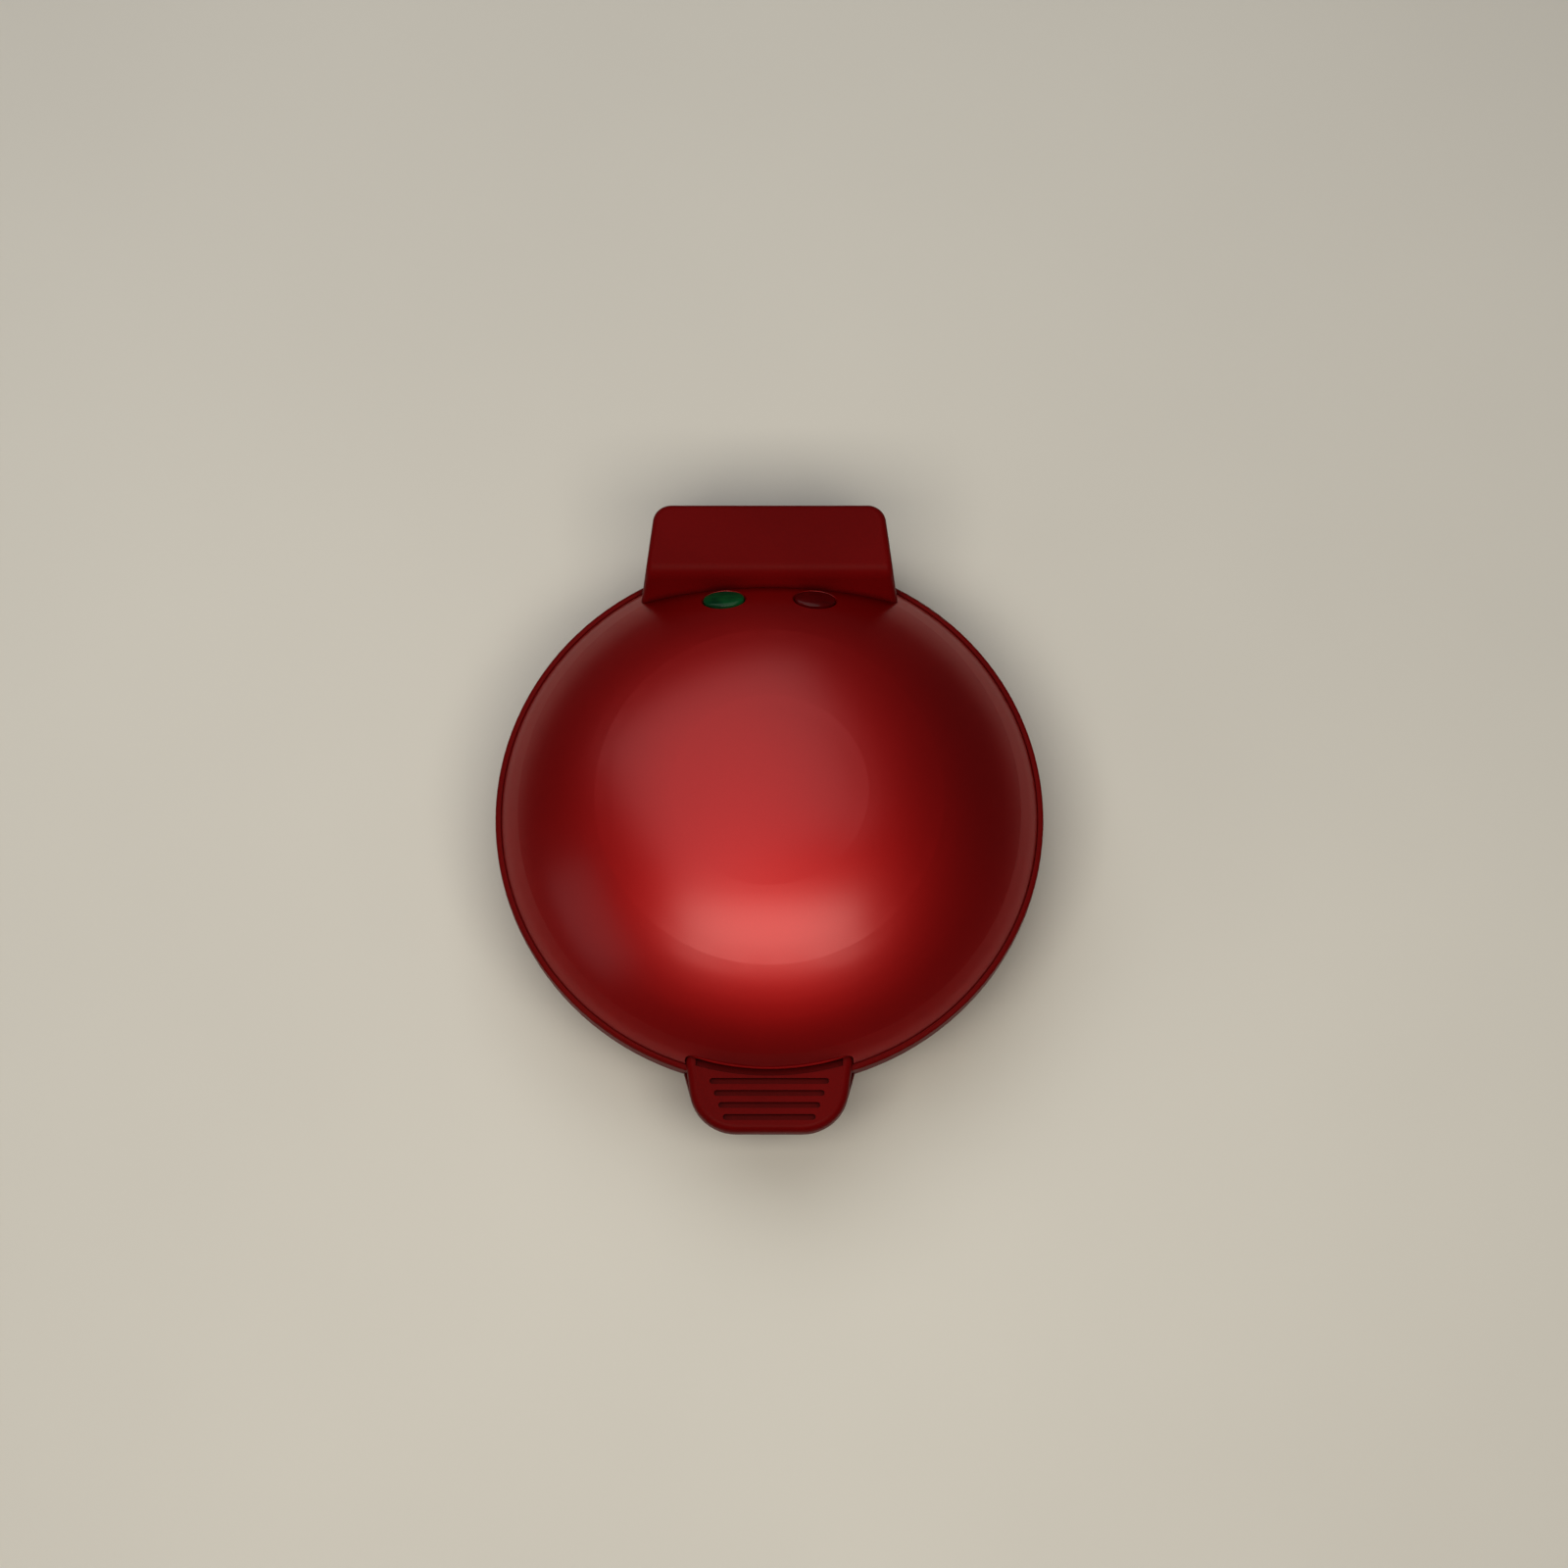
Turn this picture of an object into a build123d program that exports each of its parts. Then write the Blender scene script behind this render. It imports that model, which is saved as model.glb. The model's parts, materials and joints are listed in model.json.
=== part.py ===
from build123d import *
from math import asin, atan2, cos, radians, sin, sqrt, tan
import os

# Round quesadilla maker with a hinged lid, closed: base, lid, plates, elements and hinge.
# Millimetres. +X right, +Y back, +Z up. The origin is on the axis of the round body, on
# the surface that the feet stand on.
#
# Base and lid share most of their sizes, so a height is often given as a depth: its
# distance from the seam plane between them, down into the base or up into the lid.

BASE = -1  # side of the seam plane
LID = 1

# ---- Whole object ----
foot_height = 5.0  # rubber feet, floor to the underside of the base
base_depth = 45.0  # underside of the base to the seam plane
plate_radius = 101.6  # cooking plates, for the standard 8 inch tortilla
overhang = 21.5  # lid handle's tip and the back of the base stand this far outside the rim
rim_gap = 0.4  # each rim stops this short of the seam plane
plate_gap = 0.15  # each plate's land stops this short of it

# ---- Fits between pieces ----
seat_gap = 0.02  # radial, parts pressed or screwed together
run_gap = 0.05  # radial, turning fits in the hinge
fit_gap = 0.3  # loose seams and hand fits
swing_gap = 0.6  # between hinge barrel and knuckles, and round the barrel

# ---- Rims and the shelves that carry the bezels ----
band_width = 2.3
lid_band_height = 5.6
base_inset = 0.6  # the base's rim is this much smaller in radius than the lid's
rim_round = 1.0
weld = 1.0  # overlap where two forms of one moulding run into each other
shelf_thickness = 1.8
shelf_width = 11.2  # inwards from the lid's band

# ---- Dome of the lid ----
dome_rise = 46.0  # rim band to the top of the ellipse that the outline follows
dome_half_height = 68.0  # of that ellipse
dome_arc_count = 5  # tangent arcs that the outline is drawn with
dome_sheet = 1.5
dome_lip_width = 4.1
dome_lip_thickness = 1.2
dome_edge_gap = 0.2  # dome's edge to the inside of the rim band
dome_seat = 1.0  # how far the dome's edge sits below the top of the rim band
dome_clip_sheet = 1.0
dome_clip_grip = 1.2  # reach over the dome's lip
dome_clip_heel = 3.0  # screw to the clip's inner end

# ---- Base bowl ----
bowl_side_width = 44.0  # plan width of the rounded side, from the rim's outside to the floor
bowl_overhang = 3.4  # the rim band stands this far out over the bowl
bowl_wall = 2.5
band_foot_chamfer = 1.2

# ---- Cooking plates ----
plate_rebate = 6.6  # the plate's body is this much smaller in radius than its edge
plate_flange = 5.85
wedge_count = 6
pocket_margin = 9.6  # plate's edge to the outer end of a pocket
plate_land = 5.6  # flat land round the edge
ridge_width = 7.0
ridge_drop = 1.7  # ridge tops below the land
pocket_corner = 7.0
pocket_draft = 12.0
pocket_round = 3.0
lower_pocket_depth = 9.15
upper_pocket_depth = 4.15
pocket_floor = 3.5

# ---- Bezels ----
bezel_setback = 1.0  # bezel face to the seam plane
bezel_flange = 2.2
bezel_wall = 2.2
bezel_ledge_width = 3.6
bezel_ledge_thickness = 2.2
plate_edge_gap = 0.4

# ---- Screws ----
screw_radius = 1.5
head_radius = 2.8
head_height = 1.7
screw_inset = 10.0  # bezel screws and dome clips, from the rim's outside
bezel_screw_count = 4
bezel_screw_angle = 45.0
dome_clip_angles = (0, 180, 240, 300)
rim_boss_radius = 3.2
base_boss_depth = 10.0
lid_boss_height = 3.2
bezel_screw_length = 7.0
short_screw_length = 2.6
plate_screw_length = 8.0
upper_screw_length = 6.0

# ---- Plate clips ----
clip_count = 3
clip_sheet = 1.2
clip_width = 10.0
clip_hold = 13.0  # length on the plate's back
clip_screw_inset = 7.0  # from the edge of the plate's body
clip_grip = 5.1  # reach under the bezel's tube, from the bezel's ledge edge

# ---- Heating elements and shields ----
heater_inset = 26.0  # middle of the tube, from the edge of the plate's body
heater_tube = 6.5  # diameter
heater_gap_angle = 36.0  # open stretch at the back of the ring
heater_depth = heater_tube / 2 + seat_gap  # plate's back to the middle of the tube
shield_margin = 11.0  # from the middle of the tube to the shield's edge
shield_hole = 17.5
shield_sheet = 0.8
shield_standoff = 5.0
channel_width = 9.0
shield_boss_circle = 48.0
shield_boss_radius = 4.0
shield_notch_width = 30.0  # opening in the shield for the element's terminals
shield_notch_depth = 18.0
terminal_bush_radius = 3.2
terminal_bush_length = 4.0
terminal_pin_radius = 1.5
terminal_pin_length = 9.0

# ---- Thermostat and thermal fuse ----
thermostat_radius = 8.0
thermostat_height = 7.0
thermostat_pitch = 24.0
thermostat_flange = 0.8
thermostat_tab_height = 6.0
thermostat_tab_width = 6.3
thermostat_flange_width = 9.0
fuse_radius = 2.0
fuse_length = 12.0
fuse_circle = 42.0
fuse_angle = 210.0
fuse_clip_sheet = 0.8
fuse_clip_span = 14.0
fuse_clip_width = 6.0

# ---- Lid handle ----
handle_half_root = 36.4
handle_half_tip = 31.5
handle_root_inset = 14.0  # root inside the rim's outside
handle_corner = 20.0
handle_root_rise = 8.6  # top of the handle above its underside, at the root
handle_fall = 2.6  # how much lower the top is at the tip
handle_edge_round = 3.0
handle_wall = 3.0
hollow_start_gap = 1.0  # both handles are hollow from below from this far outside the rim
handle_slot_depth = 1.7  # shadow gap under the dome's edge above the handle
handle_slot_inset = 18.0  # back of that gap, from the rim's outside
slot_bar_width = 5.6  # bar behind that gap
slot_bar_rise = 5.8
groove_count = 4
groove_pitch = 5.2
groove_width = 2.5
groove_depth = 1.8
groove_setback = 21.7  # handle's tip to the first groove
groove_first_length = 51.0
groove_shortening = 3.8
edge_groove_width = 2.9  # groove that follows the dome's edge across the handle
edge_groove_depth = 1.5

# ---- Base handle ----
base_handle_setback = 8.5  # its tip is this far behind the lid handle's
base_handle_half_root = 38.5
base_handle_half_tip = 31.2
base_handle_thickness = 9.5
base_handle_corner = 13.0
base_handle_round = 4.0

# ---- Hinge ----
hinge_setback = 11.5  # hinge axis to the back of the base
barrel_radius = 9.0
barrel_half = 22.0
knuckle_length = 9.4
hood_lean = 7.0  # degrees, the hood's back leans forward by this much
rib_height = 22.0  # rib that ties each knuckle to the hood's back wall
pin_radius = 3.0
pin_length = 25.0
bush_radius = 6.0
bush_bore = 4.0
bush_inner_end = 10.5
tower_back = 2.5  # tower behind the hinge axis
tower_length = 13.0

# ---- Hood over the hinge ----
hood_height = 34.0  # hinge axis to the top
hood_crown = 0.8
hood_wall = 2.5
hood_crest_inset = 15.5  # front edge of the hood's top, from the rim's outside
hood_front_slope = 65.0  # degrees
hood_rear_half_low = 49.6
hood_rear_half_top = 49.4
hood_taper_low = 0.17
hood_taper_top = 0.13
hood_corner = 8.0
hood_front_round = 8.0
hood_edge_round = 2.6
hood_plan_inset = 43.5  # the plan outline is drawn from this far inside the rim's outside
hood_plan_margin = 2.0  # and from this far under the hood to this far over it

# ---- Hinge block at the back of the base ----
block_half_back = 48.0
block_taper = 0.16
block_bottom = 9.0
block_corner = 9.0
block_bottom_round = 5.0
block_wall = 3.0
block_opening_inset = 22.0  # front of the block's hollow, from the rim's outside

# ---- Signal lights ----
lens_inset = 24.0  # middle of each lens, from the rim's outside
lens_angle = 12.1  # degrees each side of the back
lens_half_length = 8.9
lens_half_width = 5.25
lens_proud = 1.3
lens_skirt = 5.0
lens_flange_width = 1.9
lens_flange_thickness = 1.2
lens_recess = 0.9  # chamfer round each hole in the dome
lens_flange_sink = 0.65  # the flange clears the dome's curved inside by this much at its middle
lens_round = 1.0
cup_gap = 0.5
cup_wall = 1.3
cup_depth = 10.5
lamp_radius = 2.5
lamp_length = 13.0
lamp_tip_round = 2.2
holder_leg = 2.0
holder_width = 7.0
holder_edge_gap = 0.8  # shelf's inner edge to the leg
holder_screw_run = 5.0  # leg to its screw
holder_foot = 6.5
holder_arm = 2.5
holder_reach = 17.0

# ---- Feet and vents ----
foot_inset = 9.0  # middle of each foot, from the edge of the floor
foot_radius = 8.5
foot_recess = 2.0
foot_stem_radius = 2.5
foot_bulb_radius = 3.3
foot_bulb_height = 2.5
foot_edge_round = 1.0
foot_count = 4
foot_angle = 45.0
foot_bulb_taper = 15.0  # degrees
vent_count = 6
vent_length = 20.0
vent_width = 3.0
vent_circle = 36.0

# ---- Wiring ----
sleeve_radius = 2.5
channel_radius = 3.1
sleeve_bend = 10.0
sleeve_rise = 7.5  # height of the slanting run up to the hinge axis
sleeve_meeting = 18.0  # where the two sleeves meet on the hinge axis
sleeve_run_up = 1.0  # the slanting run starts this much further along than it rises
sleeve_side = 42.0  # rise inside the hood, beside the right knuckle
sleeve_rise_bend = 6.0
sleeve_dome_bend = 20.0  # easy bends under the dome
sleeve_shield_gap = 8.0  # where the lid's sleeve comes down behind the shield
sleeve_turn_x = 22.0
sleeve_turn_inset = 3.0  # its last turn, inside the element's ring
sleeve_lead_in = 5.0  # straight run into the terminal block
terminal_width = 26.0
terminal_depth = 14.0
terminal_height = 12.0
terminal_pitch = 18.0
terminal_passage = 2.6  # radius
terminal_web = 1.6  # between the two passages
terminal_setback = 22.0  # terminal block in front of the hinge axis
post_height = 3.0
post_radius = 3.5
post_hole_depth = 4.0
lid_block_setback = 17.0  # lid's terminal block in front of the shield's notch
gland_x = 28.0
gland_z = 23.0
gland_bore = 3.6
gland_wall = 1.6
gland_flange = 7.0
gland_flange_thickness = 1.6
gland_length = 6.0
gland_barb = 0.8

# ---- Radii that follow from the sizes above, from the plates out to the rim ----
plate_body_radius = plate_radius - plate_rebate
pocket_radius = plate_radius - pocket_margin
recess_radius = plate_radius - plate_land
clip_inner_radius = plate_body_radius - clip_hold
clip_screw_circle = plate_body_radius - clip_screw_inset
heater_radius = plate_body_radius - heater_inset
shield_radius = heater_radius + shield_margin
bezel_pocket = plate_radius + plate_edge_gap
bezel_tube_radius = bezel_pocket + bezel_wall
bezel_ledge_radius = bezel_pocket - bezel_ledge_width
shelf_inner = bezel_tube_radius + fit_gap
band_inner = shelf_inner + shelf_width
rim_radius = band_inner + band_width
base_rim_radius = rim_radius - base_inset
base_band_inner = base_rim_radius - band_width
wall_radius = base_rim_radius - bowl_overhang
bowl_floor_radius = rim_radius - bowl_side_width
foot_circle = bowl_floor_radius - foot_inset
screw_circle = rim_radius - screw_inset
dome_edge = band_inner - dome_edge_gap
dome_lip_inner = dome_edge - dome_lip_width
dome_clip_outer = dome_lip_inner + dome_clip_grip
lens_circle = rim_radius - lens_inset
holder_leg_circle = shelf_inner + holder_edge_gap
holder_screw_circle = holder_leg_circle + holder_screw_run

# ---- Distances in front of or behind the disc axis ----
reach = rim_radius + overhang
handle_root_y = rim_radius - handle_root_inset
handle_slot_y = rim_radius - handle_slot_inset
hollow_start_y = rim_radius + hollow_start_gap
groove_first_y = reach - groove_setback
base_handle_reach = reach - base_handle_setback
hinge_y = reach - hinge_setback
hood_crest_y = rim_radius - hood_crest_inset
hood_plan_y = rim_radius - hood_plan_inset
block_opening_y = rim_radius - block_opening_inset
block_terminal_y = hinge_y - terminal_setback
shield_notch_y = shield_radius - shield_notch_depth
lid_block_y = shield_notch_y - lid_block_setback
sleeve_shield_y = shield_radius + sleeve_shield_gap
sleeve_turn_y = heater_radius - sleeve_turn_inset

# ---- Levels ----
seam_z = foot_height + base_depth
band_top_z = seam_z + rim_gap + lid_band_height
shelf_face = bezel_setback + bezel_flange
shelf_back = shelf_face + shelf_thickness
ledge_depth = plate_gap + plate_flange
tube_end = ledge_depth + bezel_ledge_thickness
ridge_depth = plate_gap + ridge_drop
lower_back = ridge_depth + lower_pocket_depth + pocket_floor
upper_back = ridge_depth + upper_pocket_depth + pocket_floor
dome_seat_z = band_top_z - dome_seat
dome_lip_top = dome_seat_z + dome_lip_thickness
block_top = seam_z - barrel_radius - rim_gap
hood_top = seam_z + hood_height

# ---- Spans shared by several pieces ----
recess_spread = fit_gap + 2 * lens_recess
knuckle_start = barrel_half + swing_gap
knuckle_end = knuckle_start + knuckle_length
tower_depth = seam_z - block_top + block_wall


def level(side, depth):
    """Height of a face that lies depth away from the seam plane, in the base or the lid."""
    return seam_z + side * depth


def spot(radius, angle, z, facing=1):
    """Plane on a circle about the disc axis, with local X outwards and local Z up or down."""
    turn = radians(angle)
    return Plane(
        origin=(radius * cos(turn), radius * sin(turn), z),
        x_dir=(cos(turn), sin(turn), 0),
        z_dir=(0, 0, facing),
    )


def spots(radius, count, first_angle, z, facing=1):
    """Evenly spaced planes of that kind."""
    return [spot(radius, first_angle + 360 / count * index, z, facing) for index in range(count)]


def lamp_spots(radius, z):
    """One such plane behind each signal light."""
    return [spot(radius, 90 + side * lens_angle, z) for side in (-1, 1)]


def bezel_spots(z, facing):
    """One such plane at each bezel screw."""
    return spots(screw_circle, bezel_screw_count, bezel_screw_angle, z, facing)


def clip_spots(z):
    """One such plane at each dome clip."""
    return [spot(screw_circle, angle, z) for angle in dome_clip_angles]


def save(piece, name):
    """Label a finished piece and write it."""
    piece.part.label = name
    export_step(piece.part, f"parts/{name}.step")


# ---- Dome outline: tangent arcs between normals of one ellipse, from the crown to the edge ----
dome_half_width = dome_edge / sqrt(1 - (1 - dome_rise / dome_half_height) ** 2)
dome_edge_tilt = atan2(
    dome_edge / dome_half_width**2, (dome_half_height - dome_rise) / dome_half_height**2
)


def ellipse_reach(tilt):
    """Distance from the disc axis at which the ellipse's normal leans outwards by tilt."""
    run = dome_half_width * sin(tilt)
    return dome_half_width * run / sqrt(run**2 + (dome_half_height * cos(tilt)) ** 2)


class DomeArc:
    """One arc of the dome's outline, from its inner to its outer tilt."""

    def __init__(self, index):
        self.inner_tilt = dome_edge_tilt * index / dome_arc_count
        self.outer_tilt = dome_edge_tilt * (index + 1) / dome_arc_count
        inner_reach = ellipse_reach(self.inner_tilt)
        width = ellipse_reach(self.outer_tilt) - inner_reach
        self.radius = width / (sin(self.outer_tilt) - sin(self.inner_tilt))
        self.centre_r = inner_reach - self.radius * sin(self.inner_tilt)
        self.centre_z = 0.0

    def point(self, tilt, inset):
        """The arc's point at a tilt, on the surface that lies inset below the dome's outside."""
        run = self.radius - inset
        return (self.centre_r + run * sin(tilt), self.centre_z + run * cos(tilt))


dome_arcs = [DomeArc(index) for index in range(dome_arc_count)]
end_z = band_top_z
for arc in reversed(dome_arcs):
    arc.centre_z = end_z - arc.radius * cos(arc.outer_tilt)
    end_z = arc.centre_z + arc.radius * cos(arc.inner_tilt)


def dome_height(radius, inset=0.0):
    """Height of the dome's outside at a radius, or of the surface that lies inset below it."""
    arc = next(arc for arc in dome_arcs if radius <= arc.point(arc.outer_tilt, inset)[0])
    return arc.centre_z + sqrt((arc.radius - inset) ** 2 - (radius - arc.centre_r) ** 2)


def dome_tilt(radius):
    """How far the outside's normal leans outwards at a radius."""
    arc = next(arc for arc in dome_arcs if radius <= arc.point(arc.outer_tilt, 0)[0])
    return asin((radius - arc.centre_r) / arc.radius)


def dome_curve(inset):
    """The outline's arcs in the (r, z) plane; returns their end points at the crown and the edge."""
    for arc in dome_arcs:
        middle_tilt = (arc.inner_tilt + arc.outer_tilt) / 2
        ThreePointArc(*[arc.point(tilt, inset) for tilt in (arc.inner_tilt, middle_tilt, arc.outer_tilt)])
    return dome_arcs[0].point(0, inset), dome_arcs[-1].point(dome_edge_tilt, inset)


# Everything under the dome's outside, which the hood's walls are trimmed to
with BuildPart() as dome_envelope:
    with BuildSketch(Plane.XZ):
        with BuildLine():
            envelope_top, envelope_edge = dome_curve(-fit_gap / 2)
            Polyline(envelope_edge, (envelope_edge[0], seam_z), (0, seam_z), envelope_top)
        make_face()
    revolve(axis=Axis.Z)


# ---- Hood form: side outline across X, trimmed by a plan outline that narrows upwards ----
def hood_back(z, inset):
    """Y of the hood's leaning back face, which is tangent to the hinge barrel."""
    lean = radians(hood_lean)
    return hinge_y + (barrel_radius - inset) / cos(lean) - (z - seam_z) * tan(lean)


def hood_front(z, inset):
    """Y of the hood's sloping front face."""
    slope = radians(hood_front_slope)
    return hood_crest_y - (hood_top - z) / tan(slope) + inset / sin(slope)


def hood_plan(z, inset, rear_half, taper):
    """Sketch of the hood's plan outline at one height, with rounded back corners."""
    back = hood_back(z, inset)
    half_back = rear_half - inset
    half_front = half_back + taper * (back - hood_plan_y)
    with BuildSketch(Plane.XY.offset(z)) as plan:
        with BuildLine():
            Polyline(
                (-half_front, hood_plan_y),
                (half_front, hood_plan_y),
                (half_back, back),
                (-half_back, back),
                close=True,
            )
        make_face()
        fillet(vertices().group_by(Axis.Y)[-1], hood_corner - inset)
    return plan.sketch


def hood_form(inset, bottom, rounded):
    """Solid of the hood's outside (inset 0) or of its inside (inset one wall)."""
    lean = radians(hood_lean)
    round_radius = barrel_radius - inset
    top = hood_top - inset
    front_top = (hood_front(top, inset), top)
    back_top = (hood_back(top, inset), top)
    crest = ((front_top[0] + back_top[0]) / 2, top + hood_crown)
    tangent = (hinge_y + round_radius * cos(lean), seam_z + round_radius * sin(lean))
    under = (hinge_y, seam_z - round_radius)
    fore = (hinge_y - round_radius, seam_z)
    low = seam_z - barrel_radius - hood_plan_margin
    high = hood_top + hood_plan_margin
    plan_low = hood_plan(low, inset, hood_rear_half_low, hood_taper_low)
    plan_high = hood_plan(high, inset, hood_rear_half_top, hood_taper_top)
    with BuildPart() as form:
        with BuildSketch(Plane.YZ):
            with BuildLine():
                Polyline(fore, (fore[0], bottom), (hood_front(bottom, inset), bottom), front_top)
                if rounded:
                    ThreePointArc(front_top, crest, back_top)
                else:
                    Line(front_top, back_top)
                Line(back_top, tangent)
                ThreePointArc(tangent, under, fore)
            make_face()
        extrude(amount=rim_radius, both=True)
        loft([plan_low, plan_high], mode=Mode.INTERSECT)
        if rounded:
            crest_edges = edges().filter_by(lambda e: e.center().Z > top - hood_crown)
            fillet(crest_edges.sort_by(Axis.Y)[0], hood_front_round)
            top_face = faces().sort_by(Axis.Z)[-1]
            rim = top_face.edges().sort_by(Axis.Y)[1:]
            ahead = edges().filter_by(lambda e: e.center().Y < top_face.bounding_box().min.Y)
            raised = ahead.filter_by(lambda e: e.center().Z > bottom + hood_wall)
            corners = raised.filter_by(lambda e: abs(e.center().X) > hood_rear_half_top - hood_edge_round)
            fillet(rim + corners, hood_edge_round)
    return form.part


hood_outside = hood_form(0, seam_z + rim_gap, rounded=True)
hood_inside = hood_form(hood_wall, seam_z + rim_gap / 2, rounded=False)


def handle_share(y_out):
    """How far along the lid handle a point is, 0 at its root and 1 at its tip."""
    return (y_out - handle_root_y) / (reach - handle_root_y)


def handle_top(y_out):
    """Height of the handle's sloping top, at a distance in front of the disc axis."""
    return seam_z + rim_gap + handle_root_rise - handle_fall * handle_share(y_out)


def handle_half(y_out):
    """Half width of the handle at that distance."""
    return handle_half_root - (handle_half_root - handle_half_tip) * handle_share(y_out)


# ---- Handle form: plan outline across Z, trimmed by a side outline with a sloping top ----
def handle_form(inset, lift, root_y):
    """Solid of the lid handle, shrunk by inset and with its top moved up by lift."""
    bottom = seam_z + rim_gap
    tip_y = reach - inset
    half_root = handle_half(root_y) - inset
    half_tip = handle_half(tip_y) - inset
    with BuildPart() as form:
        with BuildSketch(Plane.XY.offset(bottom)):
            with BuildLine():
                Polyline(
                    (-half_root, -root_y),
                    (half_root, -root_y),
                    (half_tip, -tip_y),
                    (-half_tip, -tip_y),
                    close=True,
                )
            make_face()
            fillet(vertices().group_by(Axis.Y)[0], handle_corner - inset)
        extrude(amount=2 * handle_root_rise)
        with BuildSketch(Plane.YZ):
            with BuildLine():
                Polyline(
                    (-root_y, bottom),
                    (-root_y, handle_top(root_y) + lift),
                    (-tip_y, handle_top(tip_y) + lift),
                    (-tip_y, bottom),
                    close=True,
                )
            make_face()
        extrude(amount=rim_radius, both=True, mode=Mode.INTERSECT)
        top_face = faces().sort_by(Axis.Z)[-1]
        fillet(top_face.edges().sort_by(Axis.Y)[:-1], handle_edge_round - inset / 2)
    return form.part


handle_outside = handle_form(0, 0, handle_root_y)
handle_inside = handle_form(handle_wall, -handle_wall, hollow_start_y)
handle_notch = handle_form(-fit_gap, handle_slot_depth, handle_slot_y)


# ---- Moulded lid frame: rim ring, handle, hood and hinge knuckles ----
def knuckle(side):
    """Hinge knuckle and the rib that ties it to the hood's back wall."""
    with BuildPart() as lug:
        with BuildSketch(Plane.YZ.offset(side * knuckle_start)):
            with Locations((hinge_y, seam_z)):
                Circle(barrel_radius)
            with BuildLine():
                rib_top = seam_z + rib_height
                Polyline(
                    (hinge_y - barrel_radius + weld, seam_z),
                    (hood_back(rib_top, 0) - hood_wall, rib_top),
                    (hood_back(rib_top, 0) - weld, rib_top),
                    (hood_back(seam_z, 0) - weld, seam_z),
                    close=True,
                )
            make_face()
        extrude(amount=side * knuckle_length)
    return lug.part


with BuildPart() as hood_shell:
    add(hood_outside)
    add(hood_inside, mode=Mode.SUBTRACT)
    add(dome_envelope.part, mode=Mode.SUBTRACT)
    with BuildSketch(Plane.YZ):
        with Locations((hinge_y, seam_z)):
            Circle(barrel_radius + swing_gap)
    extrude(amount=knuckle_start, both=True, mode=Mode.SUBTRACT)
    add(knuckle(-1))
    add(knuckle(1))
    with BuildSketch(Plane.YZ.offset(-knuckle_start)):
        with Locations((hinge_y, seam_z)):
            Circle(pin_radius + run_gap)
    extrude(amount=-knuckle_length, mode=Mode.SUBTRACT)
    with BuildSketch(Plane.YZ.offset(knuckle_start)):
        with Locations((hinge_y, seam_z)):
            Circle(bush_radius + run_gap)
    extrude(amount=knuckle_length, mode=Mode.SUBTRACT)

with BuildPart() as lid_frame:
    add(handle_outside)
    # Bar behind the slot over the handle
    with BuildSketch(Plane.XY.offset(dome_seat_z)):
        with Locations((0, -rim_radius)):
            Rectangle(2 * (handle_half_tip - handle_edge_round), rim_radius)
        Circle(shelf_inner + slot_bar_width, mode=Mode.INTERSECT)
    extrude(amount=slot_bar_rise)
    add(handle_inside, mode=Mode.SUBTRACT)
    # Room for the bezel and the plate inside the ring
    with BuildSketch(Plane.XZ):
        with BuildLine():
            Polyline(
                (0, seam_z),
                (band_inner, seam_z),
                (band_inner, level(LID, shelf_face)),
                (shelf_inner, level(LID, shelf_face)),
                (shelf_inner, hood_top),
                (0, hood_top),
                close=True,
            )
        make_face()
    revolve(axis=Axis.Z, mode=Mode.SUBTRACT)
    with BuildSketch(Plane.XZ):
        with BuildLine():
            Polyline(
                (shelf_inner, level(LID, shelf_face)),
                (band_inner, level(LID, shelf_face)),
                (band_inner, seam_z + rim_gap),
                (rim_radius, seam_z + rim_gap),
                (rim_radius, band_top_z),
                (band_inner, band_top_z),
                (band_inner, dome_seat_z),
                (shelf_inner, dome_seat_z),
                close=True,
            )
        make_face()
        fillet(vertices().group_by(Axis.X)[-1], rim_round)
    revolve(axis=Axis.Z)
    # Bosses for the bezel screws, posts for the dome clips
    with BuildSketch(Plane.XY.offset(dome_seat_z)):
        with PolarLocations(screw_circle, bezel_screw_count, start_angle=bezel_screw_angle):
            Circle(rim_boss_radius)
    extrude(amount=lid_boss_height)
    with BuildSketch(Plane.XY.offset(dome_seat_z)):
        with Locations(*[plane.origin for plane in clip_spots(0)]):
            Circle(rim_boss_radius)
    extrude(amount=dome_lip_thickness)
    add(hood_shell.part)
    # Pilot holes: bezel screws, dome clips, lamp holders
    with Locations(*bezel_spots(level(LID, shelf_face), BASE)):
        Hole(screw_radius + seat_gap, bezel_screw_length)
    with Locations(*clip_spots(dome_lip_top)):
        Hole(screw_radius + seat_gap, short_screw_length)
    with Locations(*lamp_spots(holder_screw_circle, dome_seat_z)):
        Hole(screw_radius + seat_gap, dome_seat_z - level(LID, shelf_face))
    # Finger grooves across the handle's sloping top
    for index in range(groove_count):
        groove_y = groove_first_y + groove_pitch * index
        groove_plane = Plane(
            origin=(0, -groove_y, handle_top(groove_y)),
            x_dir=(1, 0, 0),
            z_dir=(0, -handle_fall, reach - handle_root_y),
        )
        with BuildSketch(groove_plane):
            SlotOverall(groove_first_length - groove_shortening * index, groove_width)
        extrude(amount=-groove_depth, mode=Mode.SUBTRACT)
    # Groove along the dome's edge, where the handle leaves the rim
    with BuildSketch(Plane.XY.offset(handle_top(dome_edge) - edge_groove_depth)):
        with Locations((0, -rim_radius)):
            Rectangle(2 * handle_half_tip, rim_radius)
        Circle(dome_edge, mode=Mode.INTERSECT)
        Circle(dome_edge - edge_groove_width, mode=Mode.SUBTRACT)
    extrude(amount=handle_root_rise, mode=Mode.SUBTRACT)
save(lid_frame, "lid_frame")


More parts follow.
